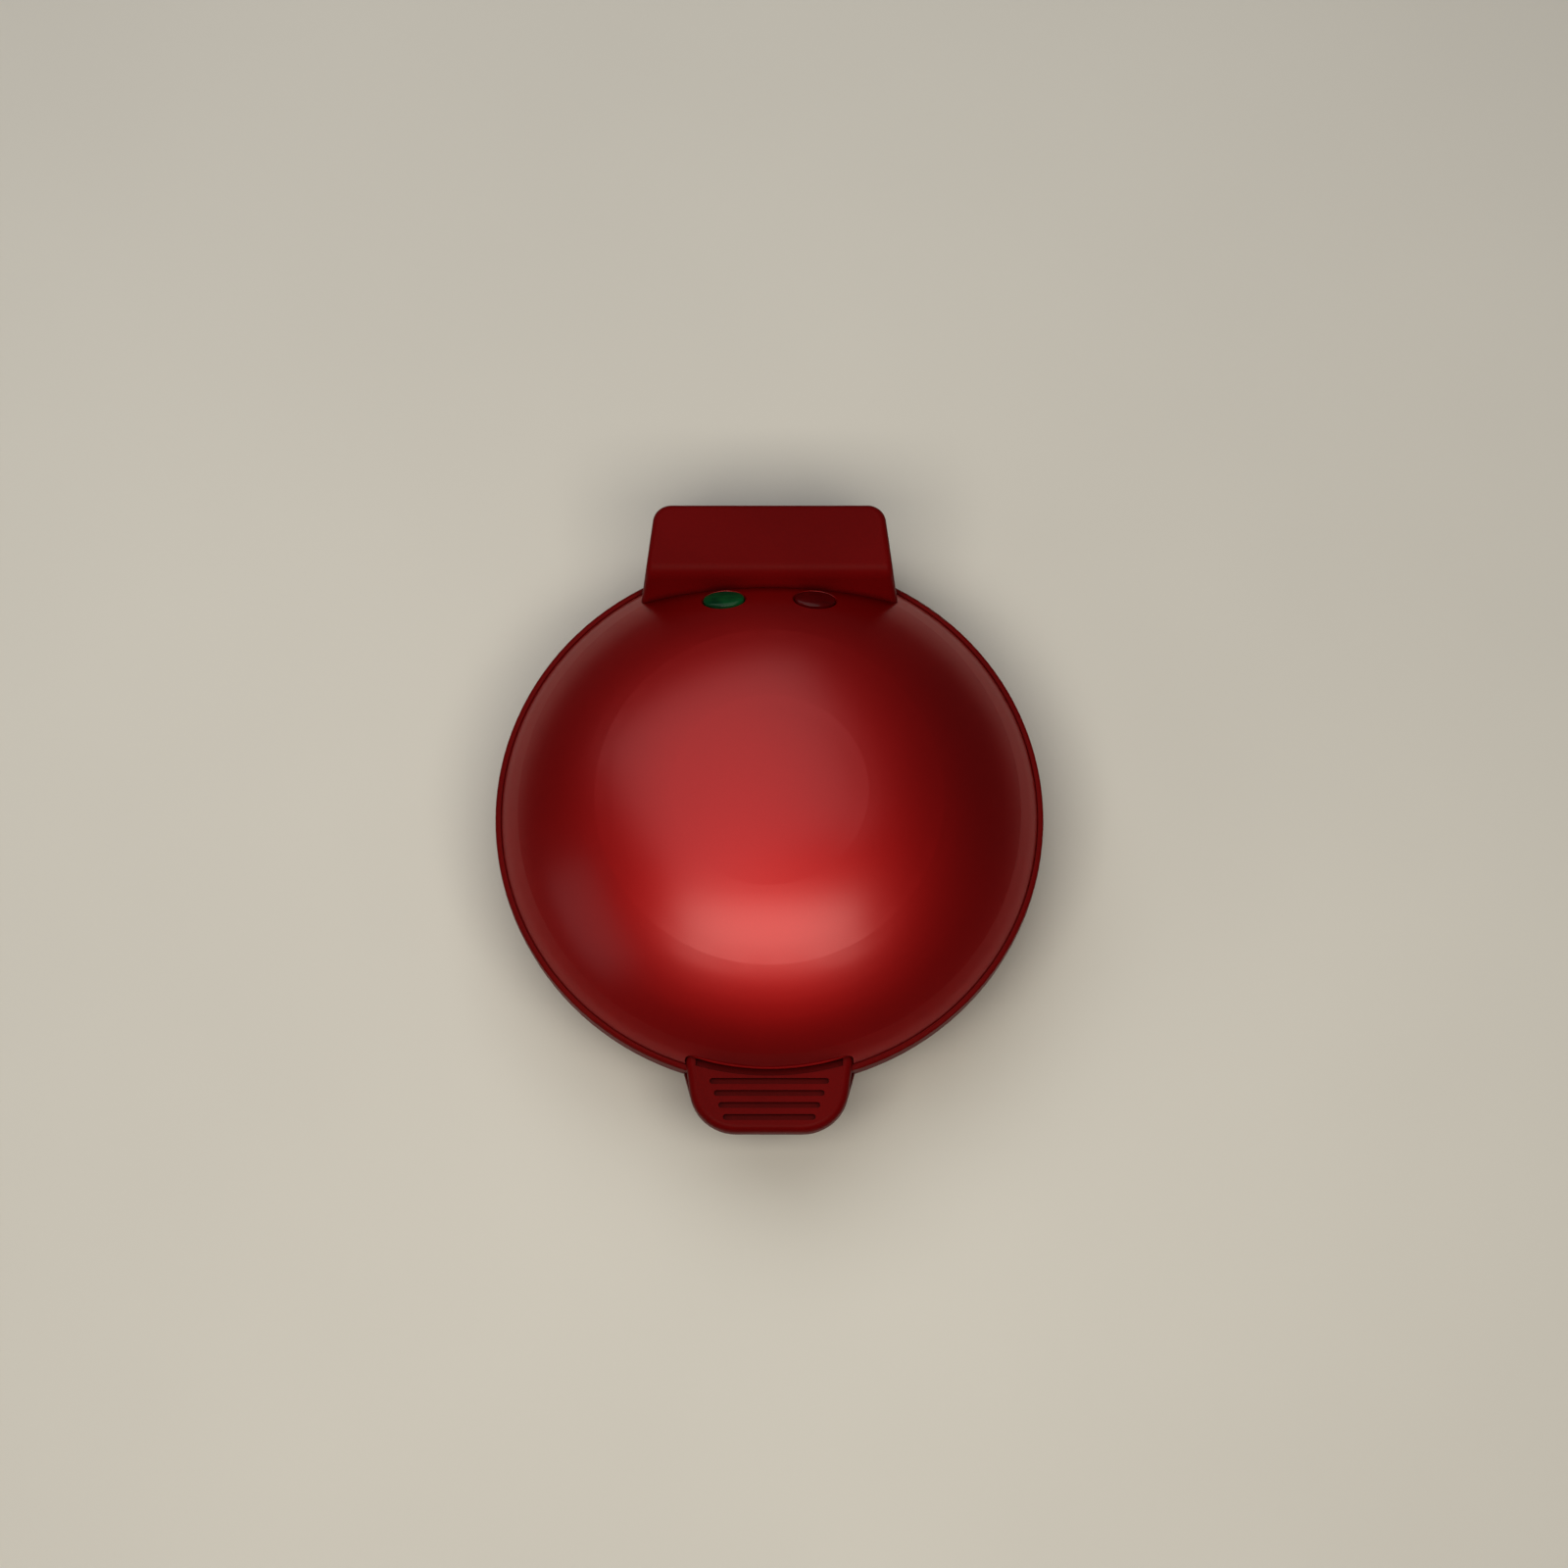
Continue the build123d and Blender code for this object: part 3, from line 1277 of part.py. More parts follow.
with BuildPart() as base_housing:
    with BuildSketch(Plane.XZ):
        with BuildLine():
            outer_low, outer_high = bowl_arc(bowl_radius)
            Polyline(
                outer_high,
                (base_rim_radius, outer_high[1] + band_foot_chamfer),
                (base_rim_radius, seam_z - rim_gap),
                (0, seam_z - rim_gap),
                (0, foot_height),
                outer_low,
            )
        make_face()
    revolve(axis=Axis.Z)
    add(block_form(0, block_bottom, block_top, reach, bowl_floor_radius, True))
    add(block_form(0, block_ceiling, seam_z - rim_gap, step_y, shelf_inner, False))
    add(base_handle_form(0, seam_z - rim_gap - base_handle_thickness, shelf_inner))
    # Hollow inside
    add(base_handle_form(bowl_wall, foot_height, hollow_start_y), mode=Mode.SUBTRACT)
    with BuildSketch(Plane.XZ):
        with BuildLine():
            inner_low, inner_high = bowl_arc(bowl_radius - bowl_wall)
            Polyline(
                inner_high,
                (shelf_inner, level(BASE, shelf_back)),
                (shelf_inner, level(BASE, shelf_face)),
                (base_band_inner, level(BASE, shelf_face)),
                (base_band_inner, seam_z),
                (0, seam_z),
                (0, floor_top),
                inner_low,
            )
        make_face()
    revolve(axis=Axis.Z, mode=Mode.SUBTRACT)
    block_back = reach - block_wall
    block_hollow = block_form(block_wall, block_floor, block_ceiling, block_back, block_opening_y, False)
    add(block_hollow, mode=Mode.SUBTRACT)
    # Hinge tower and barrel
    with BuildSketch(Plane.YZ):
        with Locations((hinge_y + tower_back, seam_z)):
            Rectangle(tower_length, tower_depth, align=(Align.MAX, Align.MAX))
        with Locations((hinge_y, seam_z)):
            Circle(barrel_radius)
    extrude(amount=barrel_half, both=True)
    # Bosses under the rim's shelf, round the feet and under the terminal block
    with BuildSketch(Plane.XY.offset(level(BASE, shelf_back))):
        with PolarLocations(screw_circle, bezel_screw_count, start_angle=bezel_screw_angle):
            Circle(rim_boss_radius)
    extrude(amount=-base_boss_depth)
    with BuildSketch(Plane.XY.offset(foot_height)):
        with PolarLocations(foot_circle, foot_count, start_angle=foot_angle):
            Circle(foot_radius + bowl_wall)
    extrude(amount=foot_recess + bowl_wall)
    with BuildSketch(Plane.XY.offset(block_floor)):
        with Locations((0, block_terminal_y)):
            with GridLocations(terminal_pitch, 0, 2, 1):
                Circle(post_radius)
    extrude(amount=post_height)
    # Recesses and stem holes for the feet, vents in the floor
    with BuildSketch(Plane.XY.offset(foot_height)):
        with PolarLocations(foot_circle, foot_count, start_angle=foot_angle):
            Circle(foot_radius + fit_gap)
    extrude(amount=foot_recess, mode=Mode.SUBTRACT)
    with BuildSketch(Plane.XY.offset(foot_height)):
        with PolarLocations(foot_circle, foot_count, start_angle=foot_angle):
            Circle(foot_stem_radius + run_gap)
        with PolarLocations(vent_circle, vent_count, start_angle=180 / vent_count):
            SlotOverall(vent_length, vent_width)
    extrude(amount=2 * (foot_recess + bowl_wall), mode=Mode.SUBTRACT)
    # Screw holes
    with Locations(*bezel_spots(level(BASE, shelf_face), LID)):
        Hole(screw_radius + seat_gap, bezel_screw_length)
    with Locations((0, block_terminal_y, block_floor + post_height)):
        with GridLocations(terminal_pitch, 0, 2, 1):
            Hole(screw_radius + seat_gap, post_hole_depth)
    # Hinge bores and the leads' way up through the tower
    with BuildSketch(Plane.YZ.offset(-barrel_half)):
        with Locations((hinge_y, seam_z)):
            Circle(pin_radius + seat_gap)
    extrude(amount=pin_length - knuckle_length, mode=Mode.SUBTRACT)
    with BuildSketch(Plane.YZ.offset(bush_inner_end)):
        with Locations((hinge_y, seam_z)):
            Circle(bush_radius + seat_gap)
    extrude(amount=barrel_half, mode=Mode.SUBTRACT)
    channel_route = [(0, sleeve_y, block_floor + block_wall), *sleeve_route[2:]]
    channel = tube(channel_route, [sleeve_bend, sleeve_bend], channel_radius)
    add(channel.part, mode=Mode.SUBTRACT)
    # Stepped hole for the cord gland
    with BuildSketch(Plane.XZ.offset(-reach)):
        with Locations((gland_x, gland_z)):
            Circle(gland_flange + fit_gap / 2)
    extrude(amount=gland_flange_thickness, mode=Mode.SUBTRACT)
    with BuildSketch(Plane.XZ.offset(-reach)):
        with Locations((gland_x, gland_z)):
            Circle(gland_bore + gland_wall + run_gap)
    extrude(amount=2 * block_wall, mode=Mode.SUBTRACT)
save(base_housing, "base_housing")

# ---- Hinge pin on the left, hollow bush for the leads on the right ----
with BuildPart() as hinge_pin:
    with BuildSketch(Plane.YZ.offset(-knuckle_end + fit_gap)):
        with Locations((hinge_y, seam_z)):
            Circle(pin_radius)
    extrude(amount=pin_length)
    chamfer(edges().group_by(Axis.X)[0], fit_gap)
save(hinge_pin, "hinge_pin")

with BuildPart() as hinge_bush:
    with BuildSketch(Plane.YZ.offset(bush_inner_end)):
        with Locations((hinge_y, seam_z)):
            Circle(bush_radius)
            Circle(bush_bore, mode=Mode.SUBTRACT)
    extrude(amount=knuckle_end - fit_gap - bush_inner_end)
save(hinge_bush, "hinge_bush")

# ---- Feet: discs with a stem and a bulb that snaps through the floor ----
with BuildPart() as rubber_feet:
    with BuildSketch(Plane.XY):
        with PolarLocations(foot_circle, foot_count, start_angle=foot_angle):
            Circle(foot_radius)
    extrude(amount=foot_height + foot_recess)
    fillet(edges().group_by(Axis.Z)[0], foot_edge_round)
    with BuildSketch(Plane.XY.offset(foot_height + foot_recess)):
        with PolarLocations(foot_circle, foot_count, start_angle=foot_angle):
            Circle(foot_stem_radius)
    extrude(amount=bowl_wall + foot_bulb_height)
    with BuildSketch(Plane.XY.offset(foot_height + foot_recess + bowl_wall + run_gap)):
        with PolarLocations(foot_circle, foot_count, start_angle=foot_angle):
            Circle(foot_bulb_radius)
    extrude(amount=foot_bulb_height, taper=foot_bulb_taper)
save(rubber_feet, "rubber_feet")


# ---- Terminal blocks: ceramic bodies with two screw holes and two lead passages ----
def terminal_body(y, z, passages):
    """Block standing on height z, its leads passing along Y."""
    with BuildPart() as block:
        with BuildSketch(Plane.XY.offset(z)):
            with Locations((0, y)):
                Rectangle(terminal_width, terminal_depth)
                with GridLocations(terminal_pitch, 0, 2, 1):
                    Circle(screw_radius + fit_gap / 2, mode=Mode.SUBTRACT)
        extrude(amount=terminal_height)
        with BuildSketch(Plane.XZ.offset(-y)):
            with Locations((0, z + terminal_height / 2)):
                with GridLocations(2 * terminal_passage + terminal_web, 0, 2, 1):
                    Circle(terminal_passage)
        extrude(amount=passages, both=True, mode=Mode.SUBTRACT)
    return block


terminal_block = terminal_body(block_terminal_y, block_floor + post_height, terminal_depth)
save(terminal_block, "terminal_block")
lid_terminal_block = terminal_body(lid_block_y, fuse_seat, terminal_depth)
save(lid_terminal_block, "lid_terminal_block")

with BuildPart() as terminal_block_screws:
    with Locations((0, block_terminal_y, block_floor + post_height + terminal_height)):
        with GridLocations(terminal_pitch, 0, 2, 1):
            pan_screw(terminal_height + post_height)
save(terminal_block_screws, "terminal_block_screws")

with BuildPart() as lid_block_screws:
    with Locations(*lid_block_holes(fuse_seat + terminal_height)):
        pan_screw(terminal_height + shield_sheet + short_screw_length)
save(lid_block_screws, "lid_block_screws")

# ---- Cord gland: flanged bush in the back wall, flush outside ----
with BuildPart() as cord_gland:
    with BuildSketch(Plane.XZ.offset(-reach)):
        with Locations((gland_x, gland_z)):
            Circle(gland_flange)
    extrude(amount=gland_flange_thickness - run_gap)
    with BuildSketch(Plane.XZ.offset(-reach)):
        with Locations((gland_x, gland_z)):
            Circle(gland_bore + gland_wall)
    extrude(amount=gland_length)
    with BuildSketch(Plane.XZ.offset(-reach + block_wall + run_gap)):
        with Locations((gland_x, gland_z)):
            Circle(gland_bore + gland_wall + gland_barb)
    extrude(amount=gland_barb)
    with BuildSketch(Plane.XZ.offset(-reach)):
        with Locations((gland_x, gland_z)):
            Circle(gland_bore)
    extrude(amount=gland_length, mode=Mode.SUBTRACT)
save(cord_gland, "cord_gland")

# ---- Lead sleeves: one in the base, one in the lid, meeting end to end on the hinge axis ----
base_lead_sleeve = tube(sleeve_route, [sleeve_bend / 2, sleeve_bend, sleeve_bend], sleeve_radius)
save(base_lead_sleeve, "base_lead_sleeve")

lid_sleeve_z = fuse_seat + terminal_height / 2
lid_passage_x = terminal_passage + terminal_web / 2
lid_block_back = lid_block_y + terminal_depth / 2 + fit_gap / 2
lid_sleeve_route = [
    (sleeve_meeting + fit_gap, hinge_y, seam_z),
    (sleeve_side, hinge_y, seam_z),
    (sleeve_side - weld, hinge_y - weld, fuse_seat - sleeve_radius),
    (sleeve_side - sleeve_radius, shelf_inner, fuse_seat - weld),
    (sleeve_side - 2 * sleeve_radius, sleeve_shield_y, fuse_seat),
    (sleeve_turn_x, sleeve_turn_y, lid_sleeve_z),
    (lid_passage_x, lid_block_back + sleeve_lead_in, lid_sleeve_z),
    (lid_passage_x, lid_block_back, lid_sleeve_z),
]
lid_sleeve_bends = [
    sleeve_rise_bend,
    sleeve_rise_bend,
    sleeve_dome_bend,
    sleeve_dome_bend,
    sleeve_bend,
    sleeve_bend / 2,
]
lid_lead_sleeve = tube(lid_sleeve_route, lid_sleeve_bends, sleeve_radius)
save(lid_lead_sleeve, "lid_lead_sleeve")
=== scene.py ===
import json
from math import asin, atan2, cos, pi, radians, sin, sqrt

import bmesh
import bpy
from mathutils import Matrix, Vector


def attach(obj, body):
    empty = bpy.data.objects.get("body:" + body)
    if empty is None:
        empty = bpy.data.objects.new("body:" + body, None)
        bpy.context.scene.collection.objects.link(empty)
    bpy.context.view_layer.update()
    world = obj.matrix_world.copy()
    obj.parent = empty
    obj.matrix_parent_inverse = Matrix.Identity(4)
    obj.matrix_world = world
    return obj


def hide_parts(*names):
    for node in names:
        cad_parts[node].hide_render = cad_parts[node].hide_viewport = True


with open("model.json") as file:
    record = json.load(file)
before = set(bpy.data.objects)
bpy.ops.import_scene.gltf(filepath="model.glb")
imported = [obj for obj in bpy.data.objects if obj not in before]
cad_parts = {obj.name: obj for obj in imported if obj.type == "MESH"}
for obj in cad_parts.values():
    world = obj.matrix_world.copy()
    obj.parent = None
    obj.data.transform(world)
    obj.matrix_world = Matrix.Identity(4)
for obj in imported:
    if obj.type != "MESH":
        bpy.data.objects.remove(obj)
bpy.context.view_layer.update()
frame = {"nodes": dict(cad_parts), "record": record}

NODES = frame["nodes"]
MM = 0.001

# ---- Sizes of the CAD part that the visual pieces repeat, in metres ----
DISC_CENTRE = Vector((0.0, 0.0, 54.0 * MM))  # the lights and the camera are set up around it
SEAM_Z = 50.0 * MM  # plane in which the base and the lid meet
BEZEL_SETBACK = 1.0 * MM  # each bezel's face lies this far behind the seam plane
SCREW_CIRCLE = 108.0 * MM
DOME_EDGE = 115.5 * MM  # radius of the dome's edge
DOME_EDGE_Z = 56.0 * MM
DOME_RISE = 46.0 * MM  # edge to the top of the ellipse that the outline follows
DOME_HALF_HEIGHT = 68.0 * MM  # of that ellipse
DOME_ARC_COUNT = 5  # tangent arcs that the outline is drawn with
HANDLE_ROOT_REACH = 104.0 * MM  # disc axis to where the handle's top starts
HANDLE_ROOT_TOP = 60.7 * MM  # height of the handle's top there
HANDLE_FALL = 0.0732  # slope of the handle's top towards its tip
LENS_CIRCLE = 94.0 * MM
LENS_ANGLE = 12.1  # degrees each side of the back
LENS_HALF_X = 8.9 * MM
LENS_HALF_Y = 5.25 * MM

# ---- Photograph ----
PHOTO_WIDTH = 1600  # pixels
PIXEL = 0.4222 * MM  # size of one pixel at the object
AIM_RIGHT = 14.9  # pixels from the disc's centre to the middle of the photograph
AIM_UP = 36.0


# =====================================================================================
# Node materials. Pattern scales are per metre, bump heights in millimetres.
# =====================================================================================
class Shader:
    """A Principled material and short calls for the nodes that feed it."""

    def __init__(self, name, **sockets):
        self.material = bpy.data.materials.new(name)
        self.material.use_nodes = True
        self.tree = self.material.node_tree
        self.bsdf = self.tree.nodes["Principled BSDF"]
        self.coord = self.tree.nodes.new("ShaderNodeTexCoord").outputs["Object"]
        for key, value in sockets.items():
            self.bsdf.inputs[key.replace("_", " ")].default_value = value
        self.last_bump = None

    def node(self, kind, **settings):
        made = self.tree.nodes.new(kind)
        for key, value in settings.items():
            setattr(made, key, value)
        return made

    def link(self, source, target):
        self.tree.links.new(source, target)

    def mapped(self, scale):
        """Object coordinates stretched by a scale along each axis."""
        made = self.node("ShaderNodeMapping")
        made.inputs["Scale"].default_value = scale
        self.link(self.coord, made.inputs["Vector"])
        return made.outputs["Vector"]

    def noise(self, scale, detail=3.0, roughness=0.5, vector=None, distortion=0.0):
        made = self.node("ShaderNodeTexNoise")
        made.inputs["Scale"].default_value = scale
        made.inputs["Detail"].default_value = detail
        made.inputs["Roughness"].default_value = roughness
        made.inputs["Distortion"].default_value = distortion
        self.link(vector or self.coord, made.inputs["Vector"])
        return made.outputs["Fac"]

    def cells(self, scale, output="Distance"):
        made = self.node("ShaderNodeTexVoronoi")
        made.inputs["Scale"].default_value = scale
        self.link(self.coord, made.inputs["Vector"])
        return made.outputs[output]

    def cell_values(self, scale):
        """Three values of its own for each cell, as the outputs Red, Green and Blue."""
        split = self.node("ShaderNodeSeparateColor")
        self.link(self.cells(scale, "Color"), split.inputs["Color"])
        return split.outputs

    def waves(self, scale, direction, vector=None):
        made = self.node("ShaderNodeTexWave", bands_direction=direction)
        made.inputs["Scale"].default_value = scale
        self.link(vector or self.coord, made.inputs["Vector"])
        return made.outputs["Fac"]

    def spread(self, value, low, high, start=0.0, end=1.0):
        """Map a value from start..end to low..high."""
        made = self.node("ShaderNodeMapRange")
        made.inputs["From Min"].default_value = start
        made.inputs["From Max"].default_value = end
        made.inputs["To Min"].default_value = low
        made.inputs["To Max"].default_value = high
        self.link(value, made.inputs["Value"])
        return made.outputs["Result"]

    def ramp(self, value, *stops):
        """Colour ramp; each stop is (place, colour)."""
        made = self.node("ShaderNodeValToRGB")
        elements = made.color_ramp.elements
        elements[0].position, elements[0].color = stops[0][0], (*stops[0][1], 1)
        elements[1].position, elements[1].color = stops[-1][0], (*stops[-1][1], 1)
        for place, colour in stops[1:-1]:
            elements.new(place).color = (*colour, 1)
        self.link(value, made.inputs["Fac"])
        return made.outputs["Color"]

    def larger(self, a, b):
        made = self.node("ShaderNodeMath", operation="MAXIMUM")
        self.link(a, made.inputs[0])
        self.link(b, made.inputs[1])
        return made.outputs["Value"]

    def mix(self, share, a, b):
        """Colour a, with a share of colour b; each is a socket or a plain colour."""
        made = self.node("ShaderNodeMix", data_type="RGBA")
        for slot, value in (("Factor", share), ("A", a), ("B", b)):
            target = [socket for socket in made.inputs if socket.name == slot and socket.enabled][0]
            if isinstance(value, tuple):
                target.default_value = (*value, 1)
            else:
                self.link(value, target)
        return [socket for socket in made.outputs if socket.name == "Result" and socket.enabled][0]

    def openness(self, distance):
        """1 on open faces, towards 0 down in grooves and gaps narrower than the distance."""
        made = self.node("ShaderNodeAmbientOcclusion", samples=6)
        made.inputs["Distance"].default_value = distance
        return made.outputs["AO"]

    def bump(self, height, distance_mm, strength):
        """Lay one more bump over those that the material already has."""
        made = self.node("ShaderNodeBump")
        made.inputs["Strength"].default_value = strength
        made.inputs["Distance"].default_value = distance_mm * MM
        self.link(height, made.inputs["Height"])
        if self.last_bump:
            self.link(self.last_bump, made.inputs["Normal"])
        self.last_bump = made.outputs["Normal"]
        self.link(self.last_bump, self.bsdf.inputs["Normal"])

    def colour(self, socket):
        self.link(socket, self.bsdf.inputs["Base Color"])

    def rough(self, socket):
        self.link(socket, self.bsdf.inputs["Roughness"])


def dome_paint():
    """Metallic red lacquer over the pressed shell: flakes, soft clouding and orange peel."""
    s = Shader(
        "dome_paint",
        Metallic=1.0,
        Specular_Tint=(0.35, 0.01, 0.01, 1),
        Coat_Weight=0.7,
        Coat_Roughness=0.28,
        Coat_IOR=1.5,
    )
    deep, light, flake = (0.36, 0.0008, 0.0008), (0.41, 0.0015, 0.0012), (0.48, 0.004, 0.003)
    flakes = s.cell_values(2600)["Red"]
    clouds = s.noise(9, detail=4)
    base = s.ramp(clouds, (0.3, deep), (0.7, light))
    s.colour(s.mix(s.spread(flakes, 0.0, 0.22), base, flake))
    s.rough(s.spread(clouds, 0.49, 0.55))
    s.bump(s.noise(260, detail=1), 0.06, 0.25)
    return s.material


def moulding_red(name="moulding_red", light=1.0):
    """Satin red moulding: fine eroded grain, faint flow clouding, and painted shade that darkens its
    grooves and gaps.
    """
    s = Shader(name, Metallic=0.0, Specular_IOR_Level=0.05, Specular_Tint=(1.0, 0.55, 0.5, 1))
    # light scales the tones; a value above 1 makes a lighter copy of the red that paints a highlight.
    low = (0.098 * light, 0.0010 * light, 0.0013 * light)
    high = (0.126 * light, 0.0016 * light, 0.0019 * light)
    # The second colour here is the near-black red of the painted shade in grooves and gaps.
    fleck, painted_crevice_shade = (0.16 * light, 0.002, 0.002), (0.012, 0.0006, 0.0008)
    flow = s.noise(14, detail=5, distortion=0.6)
    grain = s.noise(900, detail=2)
    tone = s.ramp(flow, (0.3, low), (0.72, high))
    grained = s.mix(s.spread(grain, 0.0, 0.3, 0.35, 0.75), tone, fleck)
    # Painted shade: ambient occlusion mixes the near-black red into grooves and gaps.
    painted_shade_share = s.spread(s.openness(4.0 * MM), 0.8, 0.0, 0.3, 0.85)
    s.colour(s.mix(painted_shade_share, grained, painted_crevice_shade))
    s.rough(s.spread(s.noise(60, detail=3), 0.36, 0.46))
    s.bump(s.noise(1900, detail=2, roughness=0.6), 0.05, 0.5)
    s.bump(s.noise(35, detail=1), 0.2, 0.06)
    return s.material


def black_phenolic():
    """Pressed heat-proof resin: matt black with pale mineral specks."""
    s = Shader("black_phenolic", Specular_IOR_Level=0.4)
    deep, light, mineral = (0.012, 0.012, 0.013), (0.022, 0.022, 0.023), (0.05, 0.05, 0.05)
    speck = s.noise(1400, detail=3, roughness=0.7)
    s.colour(s.ramp(speck, (0.35, deep), (0.62, light), (0.74, mineral)))
    s.rough(s.spread(s.noise(80), 0.42, 0.56))
    s.bump(speck, 0.05, 0.6)
    return s.material


def nonstick_coat():
    """Sprayed non-stick over a casting: dark, pebbled, with light flecks."""
    s = Shader(
        "nonstick_coat",
        Metallic=0.15,
        Specular_IOR_Level=0.5,
        Coat_Weight=0.25,
        Coat_Roughness=0.3,
    )
    deep, light, fleck = (0.020, 0.020, 0.022), (0.034, 0.034, 0.036), (0.16, 0.155, 0.15)
    pebble = s.noise(520, detail=3, roughness=0.6)
    tone = s.ramp(s.noise(18, detail=4), (0.3, deep), (0.7, light))
    s.colour(s.mix(s.spread(s.cells(620), 0.55, 0.0, 0.05, 0.16), tone, fleck))
    s.rough(s.spread(pebble, 0.34, 0.5))
    s.bump(pebble, 0.12, 0.5)
    return s.material


def worked_steel(name, tone, rough, streak=(900, 900, 40)):
    """Drawn, rolled or turned metal: fine lines along the axis with the smallest streak scale."""
    s = Shader(name, Metallic=1.0)
    low = tuple(0.82 * channel for channel in tone)
    lines = s.noise(1.0, detail=4, roughness=0.6, vector=s.mapped(streak))
    stain = s.noise(45, detail=5)
    brushed = s.ramp(lines, (0.3, low), (0.7, tone))
    s.colour(s.mix(s.spread(stain, 0.0, 0.5, 0.4, 0.8), brushed, low))
    s.rough(s.spread(lines, rough - 0.06, rough + 0.08))
    s.bump(lines, 0.02, 0.4)
    return s.material


def spangled_zinc():
    """Galvanised strip: each crystal has its own tone and gloss."""
    s = Shader("spangled_zinc", Metallic=1.0)
    spangle = s.cell_values(210)
    s.colour(s.ramp(spangle["Green"], (0.0, (0.50, 0.51, 0.52)), (1.0, (0.68, 0.69, 0.70))))
    s.rough(s.spread(spangle["Blue"], 0.3, 0.46))
    s.bump(s.noise(300), 0.03, 0.3)
    return s.material


def heated_sheath():
    """Element sheath: oxidised steel with straw and blue heat tints."""
    s = Shader("heated_sheath", Metallic=0.7)
    oxide, straw, blue = (0.055, 0.05, 0.05), (0.13, 0.105, 0.08), (0.09, 0.09, 0.12)
    tint = s.noise(26, detail=5, distortion=1.0)
    s.colour(s.ramp(tint, (0.3, oxide), (0.55, straw), (0.75, blue)))
    s.rough(s.spread(s.noise(700), 0.45, 0.62))
    s.bump(s.noise(1100), 0.04, 0.5)
    return s.material


def ceramic():
    """White glazed ceramic, faintly clouded."""
    s = Shader("glazed_ceramic", Specular_IOR_Level=0.55)
    cloud = s.noise(120, detail=5)
    s.colour(s.ramp(cloud, (0.35, (0.72, 0.70, 0.64)), (0.68, (0.82, 0.80, 0.75))))
    s.rough(s.spread(s.noise(60), 0.22, 0.36))
    s.bump(s.noise(420), 0.06, 0.3)
    return s.material


def rubber():
    """Dull black rubber with a fine grain."""
    s = Shader("black_rubber", Specular_IOR_Level=0.3)
    dust = s.noise(240, detail=5)
    s.colour(s.ramp(dust, (0.3, (0.012, 0.012, 0.012)), (0.7, (0.026, 0.026, 0.027))))
    s.rough(s.spread(s.noise(90), 0.68, 0.82))
    s.bump(s.noise(1500, detail=3), 0.06, 0.6)
    return s.material


def braid():
    """Glass-fibre braid: two crossed sets of strands."""
    s = Shader("glass_fibre_braid", Specular_IOR_Level=0.3, Sheen_Weight=0.3)
    strands = 420
    one = s.waves(strands, "DIAGONAL")
    two = s.waves(strands, "DIAGONAL", s.mapped((-1, 1, 1)))
    weave = s.larger(one, two)
    s.colour(s.ramp(weave, (0.2, (0.42, 0.38, 0.30)), (0.9, (0.74, 0.71, 0.62))))
    s.rough(s.spread(weave, 0.85, 0.7))
    s.bump(weave, 0.2, 0.6)
    return s.material


def satin_nylon(name, low, high):
    """Moulded plastic between two near tones, with a fine grain."""
    s = Shader(name, Specular_IOR_Level=0.45)
    s.colour(s.ramp(s.noise(300, detail=4), (0.35, low), (0.7, high)))
    s.rough(s.spread(s.noise(90), 0.4, 0.55))
    s.bump(s.noise(1600), 0.04, 0.4)
    return s.material


def lens_tint(name, deep, light):
    """Tinted lens: clouded between two tones, lighter in its moulded prism lines."""
    s = Shader(name, Specular_IOR_Level=0.12, Coat_Weight=0.06, Coat_Roughness=0.06)
    lines = s.waves(150, "Y")
    cloud = s.noise(160, detail=2)
    body = s.ramp(cloud, (0.3, deep), (0.7, light))
    s.colour(s.mix(s.spread(lines, 0.0, 0.35), body, light))
    s.rough(s.spread(cloud, 0.16, 0.24))
    s.bump(lines, 0.05, 0.35)
    return s.material


def lamp_glass():
    """Clear glass with a warm cast."""
    s = Shader("lamp_glass", Transmission_Weight=0.75, IOR=1.5, Roughness=0.08)
    s.colour(s.ramp(s.noise(500), (0.3, (0.80, 0.62, 0.50)), (0.7, (0.92, 0.84, 0.78))))
    s.bump(s.noise(900), 0.03, 0.3)
    return s.material


# One material for each material slot of the record
MATERIALS = {
    "red_paint": dome_paint(),
    "red_moulding": moulding_red(),
    "black_phenolic": black_phenolic(),
    "nonstick_casting": nonstick_coat(),
    "zinc_strip": spangled_zinc(),
    "screw_steel": worked_steel("screw_steel", (0.62, 0.62, 0.60), 0.32),
    "element_sheath": heated_sheath(),
    "terminal_steel": worked_steel("terminal_steel", (0.66, 0.65, 0.62), 0.3),
    "shield_sheet": worked_steel("shield_sheet", (0.66, 0.67, 0.68), 0.38, (30, 900, 900)),
    "thermostat_can": worked_steel("thermostat_can", (0.74, 0.74, 0.75), 0.3, (700, 700, 60)),
    "fuse_brass": worked_steel("fuse_brass", (0.70, 0.52, 0.24), 0.3),
    "white_ceramic": ceramic(),
    "black_rubber": rubber(),
    "pin_steel": worked_steel("pin_steel", (0.58, 0.58, 0.58), 0.25, (60, 900, 900)),
    "black_nylon": satin_nylon("black_nylon", (0.016, 0.016, 0.017), (0.032, 0.032, 0.033)),
    "glass_fibre_braid": braid(),
    "green_lens_plastic": lens_tint("green_lens_tint", (0.0005, 0.018, 0.007), (0.003, 0.055, 0.014)),
    "red_lens_plastic": lens_tint("red_lens_tint", (0.030, 0.0006, 0.0008), (0.070, 0.0012, 0.0015)),
    "lamp_glass": lamp_glass(),
    "white_heatproof": satin_nylon("white_heatproof", (0.66, 0.65, 0.61), (0.76, 0.75, 0.71)),
}


def dress_nodes():
    """Give each CAD node the material of its slot, smooth-shaded."""
    for part in frame["record"]["subparts"]:
        mesh = NODES[part["node"]].data
        mesh.materials.clear()
        mesh.materials.append(MATERIALS[part["material_slot"]])
        for face in mesh.polygons:
            face.use_smooth = True


